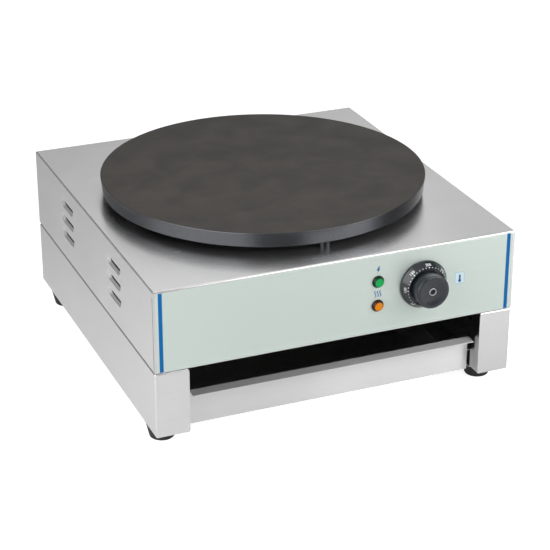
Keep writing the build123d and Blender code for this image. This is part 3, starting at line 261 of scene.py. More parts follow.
@dataclass(frozen=True)
class PrintedFilm(Finish):
    """Silver polyester film, printed from behind: even and satin, with a faint orange peel."""

    ground: str = "#BAC4BF"
    ground_light: str = "#BFC9C4"
    stripe: str = "#005A94"
    stripe_inner: float = 214.3
    stripe_outer: float = 219.0
    ink_length: float = 120.0
    ink_width: float = 1.5
    peel: float = 2.2
    silver: float = 0.55
    roughness: Point = (0.32, 0.42)

    def pattern(self, add: Adder) -> dict[str, Any]:
        """Lay the silver ground, the two upright stripes and the film's own surface.

        Args:
            add: Adds a node to the material.

        Returns:
            What the shader takes in.
        """
        place = add("TexCoord").outputs["Object"]
        across = add("SeparateXYZ", [place]).outputs["X"]
        reach = add("Math", [across], operation="ABSOLUTE")
        inside = add("Math", (reach, self.stripe_inner * MM), operation="GREATER_THAN")
        outside = add("Math", (reach, self.stripe_outer * MM), operation="LESS_THAN")
        stripes = add("Math", (inside, outside), operation="MULTIPLY")
        # Silver ink has fine level lines, drawn wider here so that they show.
        scale = [per_mm(size) for size in (self.ink_length, self.ink_length, self.ink_width)]
        drawn = add("Mapping", {"Vector": place, "Scale": scale})
        ink = add("TexNoise", {"Vector": drawn, "Scale": 1.0, "Detail": 3.0})
        ground = add("Mix", {0: ink, 6: self.ground, 7: self.ground_light}, data_type="RGBA")
        peel = add("TexNoise", {"Vector": place, "Scale": per_mm(self.peel), "Detail": 1.0})
        return {
            "Base Color": add("Mix", {0: stripes, 6: ground, 7: self.stripe}, data_type="RGBA"),
            "Metallic": add("MapRange", (stripes, *WHOLE, self.silver, 0.0)),
            "Roughness": add("MapRange", (peel, *WHOLE, *self.roughness)),
            "Specular IOR Level": 0.15,
            "Normal": add("Bump", {"Height": peel, "Strength": 0.08, "Distance": 0.05 * MM}),
        }


@dataclass(frozen=True)
class CastIron(Finish):
    """Turned cast iron: the face seasoned brown-black and matt, the rim darker and half glossy."""

    face: str = "#302B25"
    face_burnt: str = "#26231F"
    face_roughness: Point = (0.5, 0.64)
    rim: str = "#434447"
    rim_light: str = "#505155"
    rim_roughness: Point = (0.16, 0.26)
    rim_metal: float = 0.7
    turned: Point = (0.55, 0.95)
    ring_pitch: float = 2.4
    ring_depth: float = 0.25
    patch: float = 46.0
    seasoned: Point = (0.36, 0.66)
    grit: float = 1.1
    flecked: Point = (0.42, 0.72)

    def pattern(self, add: Adder) -> dict[str, Any]:
        """Lay the turning rings and seasoning on the face, and the cast grit on the rim.

        Args:
            add: Adds a node to the material.

        Returns:
            What the shader takes in.
        """
        coordinates = add("TexCoord").outputs
        place = coordinates["Object"]
        up = add("SeparateXYZ", [coordinates["Normal"]]).outputs["Z"]
        top = add("MapRange", (up, *self.turned))
        oil = {"Scale": per_mm(self.patch), "Detail": 5.0, "Distortion": 0.4}
        patches = add("TexNoise", {"Vector": place, **oil})
        grit = add("TexNoise", {"Vector": place, "Scale": per_mm(self.grit), "Detail": 3.0})
        seasoning = add("MapRange", (patches, *self.seasoned))
        face = add("Mix", {0: seasoning, 6: self.face, 7: self.face_burnt}, data_type="RGBA")
        flecks = add("MapRange", (grit, *self.flecked))
        rim = add("Mix", {0: flecks, 6: self.rim, 7: self.rim_light}, data_type="RGBA")
        face_rough = add("MapRange", (patches, *WHOLE, *self.face_roughness))
        rim_rough = add("MapRange", (grit, *WHOLE, *self.rim_roughness))
        # The tool's rings are a few tenths apart, drawn wider here so that they show.
        waver = {"Distortion": 0.6, "Detail": 1.0, "Detail Scale": 2.0}
        spacing = {"Vector": place, "Scale": per_mm(self.ring_pitch) * RING}
        rings = add("TexWave", spacing | waver, wave_type="RINGS", rings_direction="Z")
        cut = add("Math", (rings.outputs["Fac"], top), operation="MULTIPLY")
        relief = add("Math", (cut, self.ring_depth, grit), operation="MULTIPLY_ADD")
        return {
            "Base Color": add("Mix", {0: top, 6: rim, 7: face}, data_type="RGBA"),
            "Metallic": add("MapRange", (top, *WHOLE, self.rim_metal, 0.0)),
            "Roughness": add("Mix", {0: top, 2: rim_rough, 3: face_rough}),
            "Specular IOR Level": 0.35,
            "Normal": add("Bump", {"Height": relief, "Strength": 0.2, "Distance": 0.05 * MM}),
        }


@dataclass(frozen=True)
class Moulded(Finish):
    """A moulded or pressed body: one colour through, with the mould's grain and a little bloom."""

    base: str
    bloom: str
    roughness: float = 0.42
    unevenness: Point = (-0.04, 0.06)
    rubbed: Point = (0.3, 0.7)
    grit: float = 0.7
    gritty: Point = (0.45, 0.8)
    cloud: float = 14.0
    dusty: Point = (0.4, 0.75)
    relief: float = 0.04
    depth: float = 0.2
    metallic: float = 0.0

    def pattern(self, add: Adder) -> dict[str, Any]:
        """Lay the mould's fine grain and the slow bloom over it.

        Args:
            add: Adds a node to the material.

        Returns:
            What the shader takes in.
        """
        place = add("TexCoord").outputs["Object"]
        grit = add("TexNoise", {"Vector": place, "Scale": per_mm(self.grit), "Detail": 3.0})
        slow = {"Scale": per_mm(self.cloud), "Detail": 4.0, "Distortion": 0.3}
        clouds = add("TexNoise", {"Vector": place, **slow})
        dust = add("MapRange", (clouds, *self.dusty, 0.0, self.depth * 2))
        speck = add("MapRange", (grit, *self.gritty, 0.0, self.depth))
        mixed = add("Math", (dust, speck), use_clamp=True)
        rough = [self.roughness + part for part in self.unevenness]
        relief = {"Strength": 0.4, "Distance": self.relief * MM}
        return {
            "Metallic": self.metallic,
            "Base Color": add("Mix", {0: mixed, 6: self.base, 7: self.bloom}, data_type="RGBA"),
            "Roughness": add("MapRange", (clouds, *self.rubbed, *rough)),
            "Normal": add("Bump", {"Height": grit, **relief}),
        }


@dataclass(frozen=True)
class ScreenInk(Moulded):
    """Screen ink: a flat, opaque colour with a faint satin."""

    roughness: float = 0.45
    relief: float = 0.01


@dataclass(frozen=True)
class LampLens(Finish):
    """Dyed clear acrylic over a neon: bright over the flat face, with painted shade down the bevel.
    """

    bright: str
    # The colour of the painted shade down the bevel.
    painted_shade: str
    axis: Point
    # Where the painted shade fades in, in millimetres from the axis.
    bevel: Point = (4.4, 5.9)
    swirl: float = 3.0
    swirl_share: float = 0.2
    roughness: Point = (0.16, 0.28)
    glow: float = 0.12

    def pattern(self, add: Adder) -> dict[str, Any]:
        """Lay the colour by the distance from the lamp's axis, with painted shade down the bevel,
        and a faint glow behind the face.

        Args:
            add: Adds a node to the material.

        Returns:
            What the shader takes in.
        """
        place = add("TexCoord").outputs["Object"]
        axis = (self.axis[0] * MM, 0.0, self.axis[1] * MM)
        from_axis = add("VectorMath", (place, axis), operation="SUBTRACT")
        flat = add("VectorMath", (from_axis, (1.0, 0.0, 1.0)), operation="MULTIPLY")
        radius = add("VectorMath", [flat], operation="LENGTH")
        swirl = add("TexNoise", {"Vector": place, "Scale": per_mm(self.swirl), "Detail": 2.0})
        # Painted shade: the colour darkens from the face's edge down the bevel.
        edge = add("MapRange", [radius] + [reach * MM for reach in self.bevel])
        mixing = {"operation": "MULTIPLY_ADD", "use_clamp": True}
        share = add("Math", (swirl, self.swirl_share, edge), **mixing)
        colour = add("Mix", {0: share, 6: self.bright, 7: self.painted_shade}, data_type="RGBA")
        return {
            "Base Color": colour,
            "Emission Color": colour,
            "Emission Strength": self.glow,
            "Roughness": add("MapRange", (swirl, *WHOLE, *self.roughness)),
            "IOR": 1.49,
            "Specular IOR Level": 0.2,
        }


@dataclass(frozen=True)
class TurnedMetal(Finish):
    """Small turned or plated metal: an uneven tone and fine streaks, too fine to show as rings."""

    base: str = "#B4B6B8"
    shade: str = "#8E9092"
    roughness: float = 0.32
    unevenness: Point = (-0.08, 0.12)
    streak: float = 0.8
    cloud: float = 9.0
    cloudy: Point = (0.35, 0.7)

    def pattern(self, add: Adder) -> dict[str, Any]:
        """Lay the plating's fine streaks and the uneven tone of handled hardware.

        Args:
            add: Adds a node to the material.

        Returns:
            What the shader takes in.
        """
        place = add("TexCoord").outputs["Object"]
        streaks = add("TexNoise", {"Vector": place, "Scale": per_mm(self.streak), "Detail": 4.0})
        clouds = add("TexNoise", {"Vector": place, "Scale": per_mm(self.cloud), "Detail": 3.0})
        tone = add("MapRange", (clouds, *self.cloudy))
        rough = [self.roughness + part for part in self.unevenness]
        return {
            "Metallic": 1.0,
            "Base Color": add("Mix", {0: tone, 6: self.base, 7: self.shade}, data_type="RGBA"),
            "Roughness": add("MapRange", (streaks, *WHOLE, *rough)),
            "Normal": add("Bump", {"Height": streaks, "Strength": 0.15, "Distance": 0.02 * MM}),
        }


# Brushed sheet: satin, and drawn out across its lines. The tray's is rougher, so it looks greyer.
SHELL_STEEL = BrushedStainless("stainless_brushed_round_the_blank")
LEVEL_STEEL = BrushedStainless("stainless_brushed_level", Grain.LEVEL)
LIP_STEEL = BrushedStainless(
    "stainless_brushed_tray_front", Grain.LEVEL, roughness=0.42, spread=0.85
)
TRAY_STEEL = BrushedStainless(
    "stainless_brushed_tray", Grain.TO_THE_BACK, roughness=0.4, line_width=1.4
)
# Aluminised sheet: a dull grey without a grain.
PAN_STEEL = BrushedStainless(
    "steel_aluminised_pan", valley="#8C8D8E", ridge="#A2A3A4", roughness=0.42, spread=0.0,
    line_width=3.0, line_length=30.0,
)
OVERLAY_FILM = PrintedFilm("polyester_film_printed_silver")
PLATE_IRON = CastIron("cast_iron_turned_and_seasoned")
# Rubbers: black and matt, with a grey bloom.
FOOT_RUBBER = Moulded("rubber_moulded_black", "#17171B", "#25252A", 0.68, grit=0.9, relief=0.06)
NEOPRENE = Moulded("neoprene_moulded_seal", "#141416", "#26262A", 0.8, relief=0.06)
# Phenolic: near black and glossy, cool where it catches the light. Polyamide is duller.
KNOB_PLASTIC = Moulded("phenolic_moulded_charcoal", "#1B2025", "#262D34", 0.21, depth=0.1)
SKIRT_PLASTIC = Moulded("phenolic_moulded_dial", "#191E23", "#242A30", 0.21, depth=0.1)
CASE_PLASTIC = Moulded("polyamide_moulded_black", "#191A1C", "#2E2F33", 0.5)
# Ceramics: the fibre board is chalky and loose, the steatite smooth like unglazed china.
FIBRE_BOARD = Moulded(
    "ceramic_fibre_board_pressed", "#D9D3C4", "#B9B09C", 0.92, grit=1.6, relief=0.25, depth=0.4
)
STEATITE = Moulded("steatite_pressed_and_fired", "#DCD8CC", "#C8C1B0", 0.55, relief=0.05)
# A heater's sheath: brown and straw tints of heat over a dull metal.
SHEATH = Moulded(
    "alloy_sheath_heat_tinted", "#4A3F38", "#6F6A68", 0.48, grit=1.2, metallic=0.9, depth=0.45
)
WHITE_INK = ScreenInk("ink_screen_printed_white", "#E6E7E5", "#D2D4D3", 0.5)
BLUE_INK = ScreenInk("ink_screen_printed_blue", "#004C86", "#0A5890")
BLUE_LINE_INK = ScreenInk("ink_screen_printed_light_blue", "#7FB2CF", "#8BBBD5")
PALE_INK = ScreenInk("ink_screen_printed_pale_blue", "#C3D6DA", "#BBD0D6")
# Hardware: zinc is a flat grey, stainless and aluminium brighter, blacked steel dark but shiny.
ZINC = TurnedMetal("steel_zinc_plated")
BRIGHT_SCREW = TurnedMetal("stainless_cold_headed", "#BDBEBF", "#9C9D9E", 0.26)
ALUMINIUM = TurnedMetal("aluminium_turned_satin", "#C9CBCC", "#AEB0B2", 0.3)
BLACKED = TurnedMetal("steel_turned_and_blacked", "#3A3B3D", "#2A2B2C", 0.36)
BRASS = TurnedMetal("brass_turned", "#C9A557", "#A98640", 0.3)


# ---- Modelling ----


class Pick(Enum):
    """What an edit works on."""

    VERTICES = "VERT"
    EDGES = "EDGE"
    FACES = "FACE"


@contextmanager
def picked(*pieces: Piece) -> Iterator[None]:
    """Have only these pieces selected, the first of them active, and none of them afterwards.

    Args:
        pieces: The pieces to work on.
    """
    bpy.ops.object.select_all(action="DESELECT")
    for piece in pieces:
        piece.select_set(True)
    bpy.context.view_layer.objects.active = pieces[0]
    yield
    bpy.ops.object.select_all(action="DESELECT")


@contextmanager
def editing(piece: Piece, pick: Pick = Pick.FACES) -> Iterator[None]:
    """Work on a piece in edit mode with nothing selected.

    Args:
        piece: The piece to edit.
        pick: What is selected in this edit.
    """
    with picked(piece):
        bpy.ops.object.mode_set(mode="EDIT")
        bpy.ops.mesh.select_mode(type=pick.value)
        bpy.ops.mesh.select_all(action="DESELECT")
        yield
        bpy.ops.object.mode_set(mode="OBJECT")


def choose(piece: Piece, pick: Pick, test: Callable[[Any], bool]) -> None:
    """Select, in edit mode, the elements that pass a test.

    Args:
        piece: The piece in edit mode.
        pick: Which kind of element is tested.
        test: Says whether an element is taken.
    """
    shape = bmesh.from_edit_mesh(piece.data)
    kinds = {Pick.VERTICES: shape.verts, Pick.EDGES: shape.edges, Pick.FACES: shape.faces}
    for element in kinds[pick]:
        if test(element):
            element.select_set(True)
    shape.select_flush_mode()
    bmesh.update_edit_mesh(piece.data)


def named(name: str) -> Piece:
    """Name the object that an operator has just made.

    Args:
        name: Its name.

    Returns:
        The object.
    """
    piece = bpy.context.object
    piece.name = piece.data.name = name
    return piece


def added(name: str, operator: Callable[..., Any], **settings: Any) -> Piece:
    """Add an object with an operator, at the origin unless a location is among the settings.

    Args:
        name: The object's name.
        operator: The operator that adds it.
        settings: The operator's settings.

    Returns:
        The object.
    """
    operator(**{"location": (0, 0, 0), **settings})
    return named(name)


def settle(piece: Piece) -> Piece:
    """Put a piece's place into its mesh, so that its object sits at the origin.

    Args:
        piece: The piece.

    Returns:
        The same piece.
    """
    bpy.context.view_layer.update()
    piece.data.transform(piece.matrix_world)
    piece.matrix_world = Matrix.Identity(4)
    return piece


def apply_modifiers(piece: Piece) -> None:
    """Apply every modifier of a piece in order.

    Args:
        piece: The piece.
    """
    with picked(piece):
        for modifier in list(piece.modifiers):
            bpy.ops.object.modifier_apply(modifier=modifier.name)


def smooth(piece: Piece, degrees: float = 32.0) -> None:
    """Shade a piece smooth up to an angle between its faces."""
    with picked(piece):
        bpy.ops.object.shade_smooth_by_angle(angle=math.radians(degrees))


def chain(name: str, points: Sequence[Vector]) -> Piece:
    """Draw a line of edges through points, extruded from one corner of a plane.

    Args:
        name: The piece's name.
        points: The points in order, in metres.

    Returns:
        The piece, a bare chain of edges.
    """
    piece = added(name, bpy.ops.mesh.primitive_plane_add, size=MM)
    with editing(piece, Pick.VERTICES):
        choose(piece, Pick.VERTICES, lambda vertex: vertex.index > 0)
        bpy.ops.mesh.delete(type="VERT")
        choose(piece, Pick.VERTICES, lambda vertex: True)
        start = bmesh.from_edit_mesh(piece.data).verts[:][0].co
        bpy.ops.transform.translate(value=points[0] - start)
        for here, there in zip(points, points[1:]):
            bpy.ops.mesh.extrude_region_move(TRANSFORM_OT_translate={"value": there - here})
    return piece


def lathe(name: str, centre: Vector, axis: Vector, profile: Sequence[Point], steps: int) -> Piece:
    """Turn a profile about an axis.

    Args:
        name: The piece's name.
        centre: A point on the axis, where the rise is nought, in metres.
        axis: The direction of the rise.
        profile: Radius and rise pairs in millimetres.
        steps: How many facets the turn has.

    Returns:
        The closed, smooth-shaded piece.
    """
    side = Vector((1, 0, 0))
    points = [centre + side * radius * MM + axis * rise * MM for radius, rise in profile]
    piece = chain(name, points)
    with editing(piece, Pick.VERTICES):
        bpy.ops.mesh.select_all(action="SELECT")
        bpy.ops.mesh.spin(steps=steps, angle=math.tau, center=centre, axis=axis)
        bpy.ops.mesh.select_all(action="SELECT")
        bpy.ops.mesh.remove_doubles(threshold=0.001 * MM)
        bpy.ops.mesh.normals_make_consistent(inside=False)
    settle(piece)
    smooth(piece)
    return piece


def arc(centre: Point, radius: float, start: float, sweep: float, steps: int) -> list[Point]:
    """Walk along an arc.

    Args:
        centre: The arc's centre.
        radius: Its radius.
        start: Where it starts, in degrees.
        sweep: How far it turns, in degrees.
        steps: How many steps it has.

    Returns:
        The points from its start to its end.
    """
    turns = [math.radians(start + sweep * step / steps) for step in range(steps + 1)]
    x, z = centre
    return [(x + radius * math.cos(turn), z + radius * math.sin(turn)) for turn in turns]


def joined(name: str, pieces: Sequence[Piece]) -> Piece:
    """Join pieces into one.

    Args:
        name: The name of the whole.
        pieces: The pieces, which the whole takes in.

    Returns:
        The whole.
    """
    with picked(*pieces):
        bpy.ops.object.join()
        return named(name)


def cut_with(piece: Piece, tool: Piece) -> None:
    """Take a tool's shape out of a piece and throw the tool away.

    Args:
        piece: The piece that is cut.
        tool: The closed shape that is taken out.
    """
    cut = piece.modifiers.new("cut", "BOOLEAN")
    cut.operation = "DIFFERENCE"
    cut.object = tool
    cut.solver = "EXACT"
    apply_modifiers(piece)
    bpy.data.objects.remove(tool)


@dataclass
class CrossHead:
    """The domed head of a sheet-metal screw with a cross recess, modelled once at the origin."""

    diameter: float = 7.5
    height: float = 2.4
    edge: float = 0.25
    slot_width: float = 0.95
    slot_span: float = 4.2
    slot_depth: float = 1.5
    slot_reach: float = 1.4
    slot_taper: float = 0.55
    rows: int = 7
    facets: int = 36
    crease: float = 28.0
    first_turn: float = 0.3
    turn_step: float = 0.7

    def profile(self) -> list[Point]:
        """Draw half the dome's section.

        Returns:
            Radius and rise pairs, from the seat to the crown.
        """
        half, dome = self.diameter / 2, self.height - self.edge
        points = [(0.0, 0.0), (half, 0.0), (half, self.edge)]
        for row in range(1, self.rows):
            turn = math.pi / 2 * row / self.rows
            points.append((half * math.cos(turn), self.edge + dome * math.sin(turn)))
        return [*points, (0.0, self.height)]

    def build(self) -> Piece:
        """Turn the dome and cut its cross, whose arms narrow towards the bottom.

        Returns:
            The head, its axis along Y.
        """
        head = lathe("cross_head", Vector(), -FORWARD, self.profile(), self.facets)
        depth = (self.height - self.slot_depth / 2) * MM
        span, width = self.slot_span, self.slot_width
        for wide, tall in ((span, width), (width, span)):
            cube = bpy.ops.mesh.primitive_cube_add
            arm = added("arm", cube, size=MM, location=(0, depth, 0))
            arm.scale = (wide, self.slot_depth * self.slot_reach, tall)
            settle(arm)
            with editing(arm):
                choose(arm, Pick.FACES, lambda face: face.normal.y < -0.9)
                bpy.ops.transform.resize(value=(self.slot_taper, 1, self.slot_taper))
            cut_with(head, arm)
        smooth(head, self.crease)
        return head


# ---- Sub-assemblies ----

# Finishes, each with the names of the CAD nodes that it goes on.
Dressing = tuple[tuple[Finish, str], ...]


@dataclass
class Assembly:
    """A sub-assembly: the finishes of its CAD nodes, and the pieces that it adds."""

    body: str = "base"
    dressing: Dressing = ()
    # The face that rear screws seat on, and how far the outer ones stand from the middle.
    back: float = 233.0
    screw_x: float = 216.5

    def build(self) -> None:
        """Dress the CAD nodes with their finishes, then add the new pieces."""
        for finish, names in self.dressing:
            for name in names.split():
                self.dress(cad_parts[name], finish)
        self.add_pieces()

    def add_pieces(self) -> None:
        """Add the new pieces, where the sub-assembly has any."""

    def dress(self, piece: Piece, finish: Finish) -> None:
        """Give a node or a piece its finish and report it.

        Args:
            piece: The node or the piece.
            finish: Its finish.
        """
        piece.data.materials.clear()
        piece.data.materials.append(finish.material())
        log.info("%s: %s, %d faces", piece.name, finish.name, len(piece.data.polygons))

    def finished(self, piece: Piece, finish: Finish, slot: str, *stands_for: str) -> None:
        """Dress a new piece and hang it on its body.

        Args:
            piece: The new piece.
            finish: Its finish.
            slot: Not used.
            stands_for: CAD nodes that the piece takes the place of.
        """
        self.dress(piece, finish)
        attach(piece, self.body)
        if stands_for:
            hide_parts(*stands_for)

    def set_screws(self, name: str, places: Sequence[Point], stands_for: str) -> None:
        """Set cross-headed screws on a rear panel, each turned a little differently.

        Args:
            name: The piece's name.
            places: X and Z of each screw, in millimetres.
            stands_for: The CAD node that they take the place of.
        """
        screw = CrossHead()
        head = screw.build()
        heads = []
        for number, (x, z) in enumerate(places):
            place = Matrix.Translation((x * MM, self.back * MM, z * MM))
            turned = Matrix.Rotation(screw.turn_step * number + screw.first_turn, 4, "Y")
            twin = head.copy()
            twin.data = head.data.copy()
            twin.data.transform(place @ turned)
            bpy.context.scene.collection.objects.link(twin)
            heads.append(twin)
        bpy.data.objects.remove(head)
        self.finished(joined(name, heads), BRIGHT_SCREW, "fastener", stands_for)


@dataclass
class Stand(Assembly):
    """Folded sides, rear panel, runners and feet."""

    dressing: Dressing = (
        (LEVEL_STEEL, "stand_right stand_left stand_back"),
        (PAN_STEEL, "runner_right runner_left"),
        (FOOT_RUBBER, "foot_front_left foot_front_right foot_back_left foot_back_right"),
        (ZINC, "foot_screws foot_nuts"),
    )
    screw_levels: tuple[float, ...] = (40.0, 81.5)

    def add_pieces(self) -> None:
        """Set the rear screws."""
        places = [(x, z) for x in (-self.screw_x, self.screw_x) for z in self.screw_levels]
        self.set_screws("stand_rear_screws", places, "stand_back_screws")


@dataclass
class Tray(Assembly):
    """The pull-out tray."""

    body: str = "tray"
    dressing: Dressing = (
        (TRAY_STEEL, "tray_box"),
        (LIP_STEEL, "tray_front"),
    )


@dataclass
class Housing(Assembly):
    """Shell, floor, rear panel and their screws."""

    dressing: Dressing = (
        (SHELL_STEEL, "housing_shell"),
        (LEVEL_STEEL, "housing_floor back_panel"),
        (ZINC, "housing_screws housing_nuts"),
    )
    top_level: float = 194.1
    side_level: float = 126.0
    low_places: tuple[Point, ...] = ((-100.0, 111.0), (60.0, 111.0))

    def add_pieces(self) -> None:
        """Set the rear screws."""
        top = [(x, self.top_level) for x in (-self.screw_x, 0.0, self.screw_x)]
        sides = [(x, self.side_level) for x in (-self.screw_x, self.screw_x)]
        places = [*top, *self.low_places, *sides]
        self.set_screws("panel_rear_screws", places, "back_panel_screws")


@dataclass
class ControlPanel(Assembly):
    """The printed film with its pictograms, and the pilot lamps."""

    dressing: Dressing = (
        (OVERLAY_FILM, "control_overlay"),
        (CASE_PLASTIC, "power_lamp_body heat_lamp_body"),
        (ZINC, "lamp_clips"),
    )
    face: float = 233.4
    print_thickness: float = 0.05
    sign_x: float = 47.6
    sign_height: float = 8.0
    bolt_level: float = 183.0
    # The bolt's corners, in halves of the sign's height.
    bolt_shape: tuple[Point, ...] = (
        (0.1, 1.0), (-0.6, -0.2), (-0.1, -0.2), (-0.3, -1.0), (0.62, 0.25), (0.12, 0.25),
        (0.6, 1.0),
    )
    heat_level: float = 152.6
    wave_shifts: tuple[float, ...] = (-3.2, 0.0, 3.2)
    wave_stroke: float = 0.6
    wave_swing: float = 0.8
    wave_rows: int = 14
    glyph_box: tuple[float, float, float, float] = (147.4, 147.0, 159.9, 161.5)
    glyph_corner: float = 2.2
    glyph_line: float = 0.6
    bulb: float = 2.0
    bulb_level: float = 150.8
    stem: float = 1.15
    stem_top: float = 158.6
    # Half a lens's section as radius and rise: seat, flange, bevel, shoulder and dished face.
    lens_profile: tuple[Point, ...] = (
        (0.0, 0.0), (7.5, 0.0), (7.5, 0.9), (7.35, 1.2), (5.75, 3.6), (5.45, 4.0),
        (5.1, 4.18), (4.6, 4.2), (4.2, 4.0), (3.0, 3.88), (0.0, 3.8),
    )

    def printed(self, name: str, outline: Sequence[Point], ink: Finish, layer: int = 0) -> None:
        """Print a filled outline on the film.

        Args:
            name: The piece's name.
            outline: X and Z of its corners in millimetres, in order.
            ink: The ink.
            layer: How many layers of ink lie under it.
        """
        y = -self.face - layer * self.print_thickness
        piece = chain(name, [Vector((x, y, z)) * MM for x, z in outline])
        thickness = FORWARD * self.print_thickness * MM
        with editing(piece, Pick.VERTICES):
            bpy.ops.mesh.select_all(action="SELECT")
            bpy.ops.mesh.edge_face_add()
            bpy.ops.mesh.extrude_region_move(TRANSFORM_OT_translate={"value": thickness})
            bpy.ops.mesh.select_all(action="SELECT")
            bpy.ops.mesh.normals_make_consistent(inside=False)
        self.finished(settle(piece), ink, "overlay")

    def bolt(self) -> list[Point]:
        """A plain lightning bolt, the sign for mains power, over the upper lamp."""
        half = self.sign_height / 2
        return [(self.sign_x + x * half, self.bolt_level + z * half) for x, z in self.bolt_shape]

    def wave(self, shift: float) -> list[Point]:
        """Draw one rising wave of the sign for heat, up its left side and down its right.

        Args:
            shift: How far the wave stands from the sign's middle.

        Returns:
            The outline.
        """
        foot = self.heat_level - self.sign_height / 2
        middle = []
        for row in range(self.wave_rows + 1):
            swing = self.wave_swing * math.sin(math.tau * row / self.wave_rows)
            rise = self.sign_height * row / self.wave_rows
            middle.append((self.sign_x + shift + swing, foot + rise))
        left = [(x - self.wave_stroke, z) for x, z in middle]
        right = [(x + self.wave_stroke, z) for x, z in reversed(middle)]
        return left + right

    def rounded_box(self, inset: float = 0.0) -> list[Point]:
        """Draw the rounded square round the thermometer.

        Args:
            inset: How far it is drawn in from the sign's edge.

        Returns:
            The outline.
        """
        corner = self.glyph_corner - inset
        west, south = (edge + inset + corner for edge in self.glyph_box[:2])
        east, north = (edge - inset - corner for edge in self.glyph_box[2:])
        centres = ((east, north), (west, north), (west, south), (east, south))
        outline = []
        for quarter, centre in enumerate(centres):
            outline += arc(centre, corner, 90 * quarter, 90, steps=5)
        return outline

    def thermometer(self) -> list[Point]:
        """Draw a thermometer: a round bulb with a stem that ends in a half round.

        Returns:
            The outline.
        """
        x, neck = sum(self.glyph_box[::2]) / 2, math.degrees(math.asin(self.stem / self.bulb))
        bulb = arc((x, self.bulb_level), self.bulb, 90 + neck, 360 - 2 * neck, steps=14)
        return bulb + arc((x, self.stem_top - self.stem), self.stem, 0, 180, steps=6)

    def lens(self, lamp: str, dye: str, bright: str, painted_shade: str) -> None:
        """Turn a lamp's lens with a rounded shoulder and a shallow dished face.

        Args:
            lamp: Which lamp it covers.
            dye: The colour's name.
            bright: The colour over the face.
            painted_shade: The painted shade down the bevel.
        """
        node = f"{lamp}_lamp_lens"
        low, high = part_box(node)
        x, z = (low.x + high.x) / 2 / MM, (low.z + high.z) / 2 / MM
        centre = Vector((x, -self.face, z)) * MM
        piece = lathe(f"{lamp}_lamp_cap", centre, FORWARD, self.lens_profile, steps=64)
        finish = LampLens(f"acrylic_dyed_{dye}", bright, painted_shade, (x, z))
        self.finished(piece, finish, f"lens_{dye}", node)

    def add_pieces(self) -> None:
        """Print the signs and turn the lenses."""
        self.printed("sign_power", self.bolt(), BLUE_INK)
        for number, shift in enumerate(self.wave_shifts):
            self.printed(f"sign_heat_{number}", self.wave(shift), BLUE_INK)
        self.printed("sign_thermometer_frame", self.rounded_box(), BLUE_LINE_INK)
        self.printed("sign_thermometer_ground", self.rounded_box(self.glyph_line), PALE_INK, 1)
        self.printed("sign_thermometer", self.thermometer(), BLUE_INK, 2)
        # The second colour of each lens is painted shade down its bevel.
        self.lens("power", "green", "#059A4C", "#03200F")
        self.lens("heat", "orange", "#CF7A00", "#2A1302")


@dataclass
class Griddle(Assembly):
    """The cast-iron plate on its posts."""

    dressing: Dressing = (
        (ZINC, "plate_studs stud_nuts"),
        (BLACKED, "plate_posts"),
    )
    top_radius: float = 199.8
    bottom_radius: float = 197.8
    bottom: float = 210.6
    height: float = 18.5
    rim_width: float = 22.0
    recess: float = 4.5
    draft: float = 1.5
    edge: float = 1.3
    steps: int = 360

    def profile(self) -> list[Point]:
        """Draw half the plate's section.

        Returns:
            Radius and rise pairs, from the middle of the face to the middle of the underside.
        """
        inner, top = self.bottom_radius - self.rim_width, self.height
        face = [(0.0, top), (self.top_radius / 2, top), (self.top_radius, top)]
        rim = [(self.bottom_radius, 0.0), (inner, 0.0), (inner - self.draft, self.recess)]
        return [*face, *rim, (0.0, self.recess)]

    def is_rim(self, edge: Any) -> bool:
        """Whether an edge of the plate runs round its top or its bottom rim.

        Args:
            edge: The edge.

        Returns:
            Whether both its ends lie on one of the two circles, to a hundredth of a millimetre.
        """
        ends = [(end.co.xy.length / MM, end.co.z / MM - self.bottom) for end in edge.verts]
        rims = ((self.top_radius, self.height), (self.bottom_radius, 0.0))
        return any(all(math.dist(end, rim) < 0.01 for end in ends) for rim in rims)

    def add_pieces(self) -> None:
        """Turn the plate and round its two edges."""
        centre = Vector((0, 0, self.bottom * MM))
        piece = lathe("crepe_plate", centre, Vector((0, 0, 1)), self.profile(), self.steps)
        with editing(piece, Pick.EDGES):
            choose(piece, Pick.EDGES, self.is_rim)
            bpy.ops.mesh.bevel(offset=self.edge * MM, segments=4)
        smooth(piece)
        self.finished(piece, PLATE_IRON, "cast_iron", "griddle_plate")


@dataclass
class Heating(Assembly):
    """The tubular element with its clamps, pan and fibre board."""

    dressing: Dressing = (
        (SHEATH, "heating_element"),
        (PAN_STEEL, "element_pan element_clamps"),
        (FIBRE_BOARD, "insulation_disc"),
        (ZINC, "clamp_screws"),
        (BRIGHT_SCREW, "pan_rivets"),
        (CASE_PLASTIC, "safety_cutout"),
    )


@dataclass
class Thermostat(Assembly):
    """The thermostat behind the front, with its bulb and its screws."""

    dressing: Dressing = (
        (CASE_PLASTIC, "thermostat_body"),
        (ZINC, "thermostat_screws"),
        (BRASS, "thermostat_bulb"),
    )


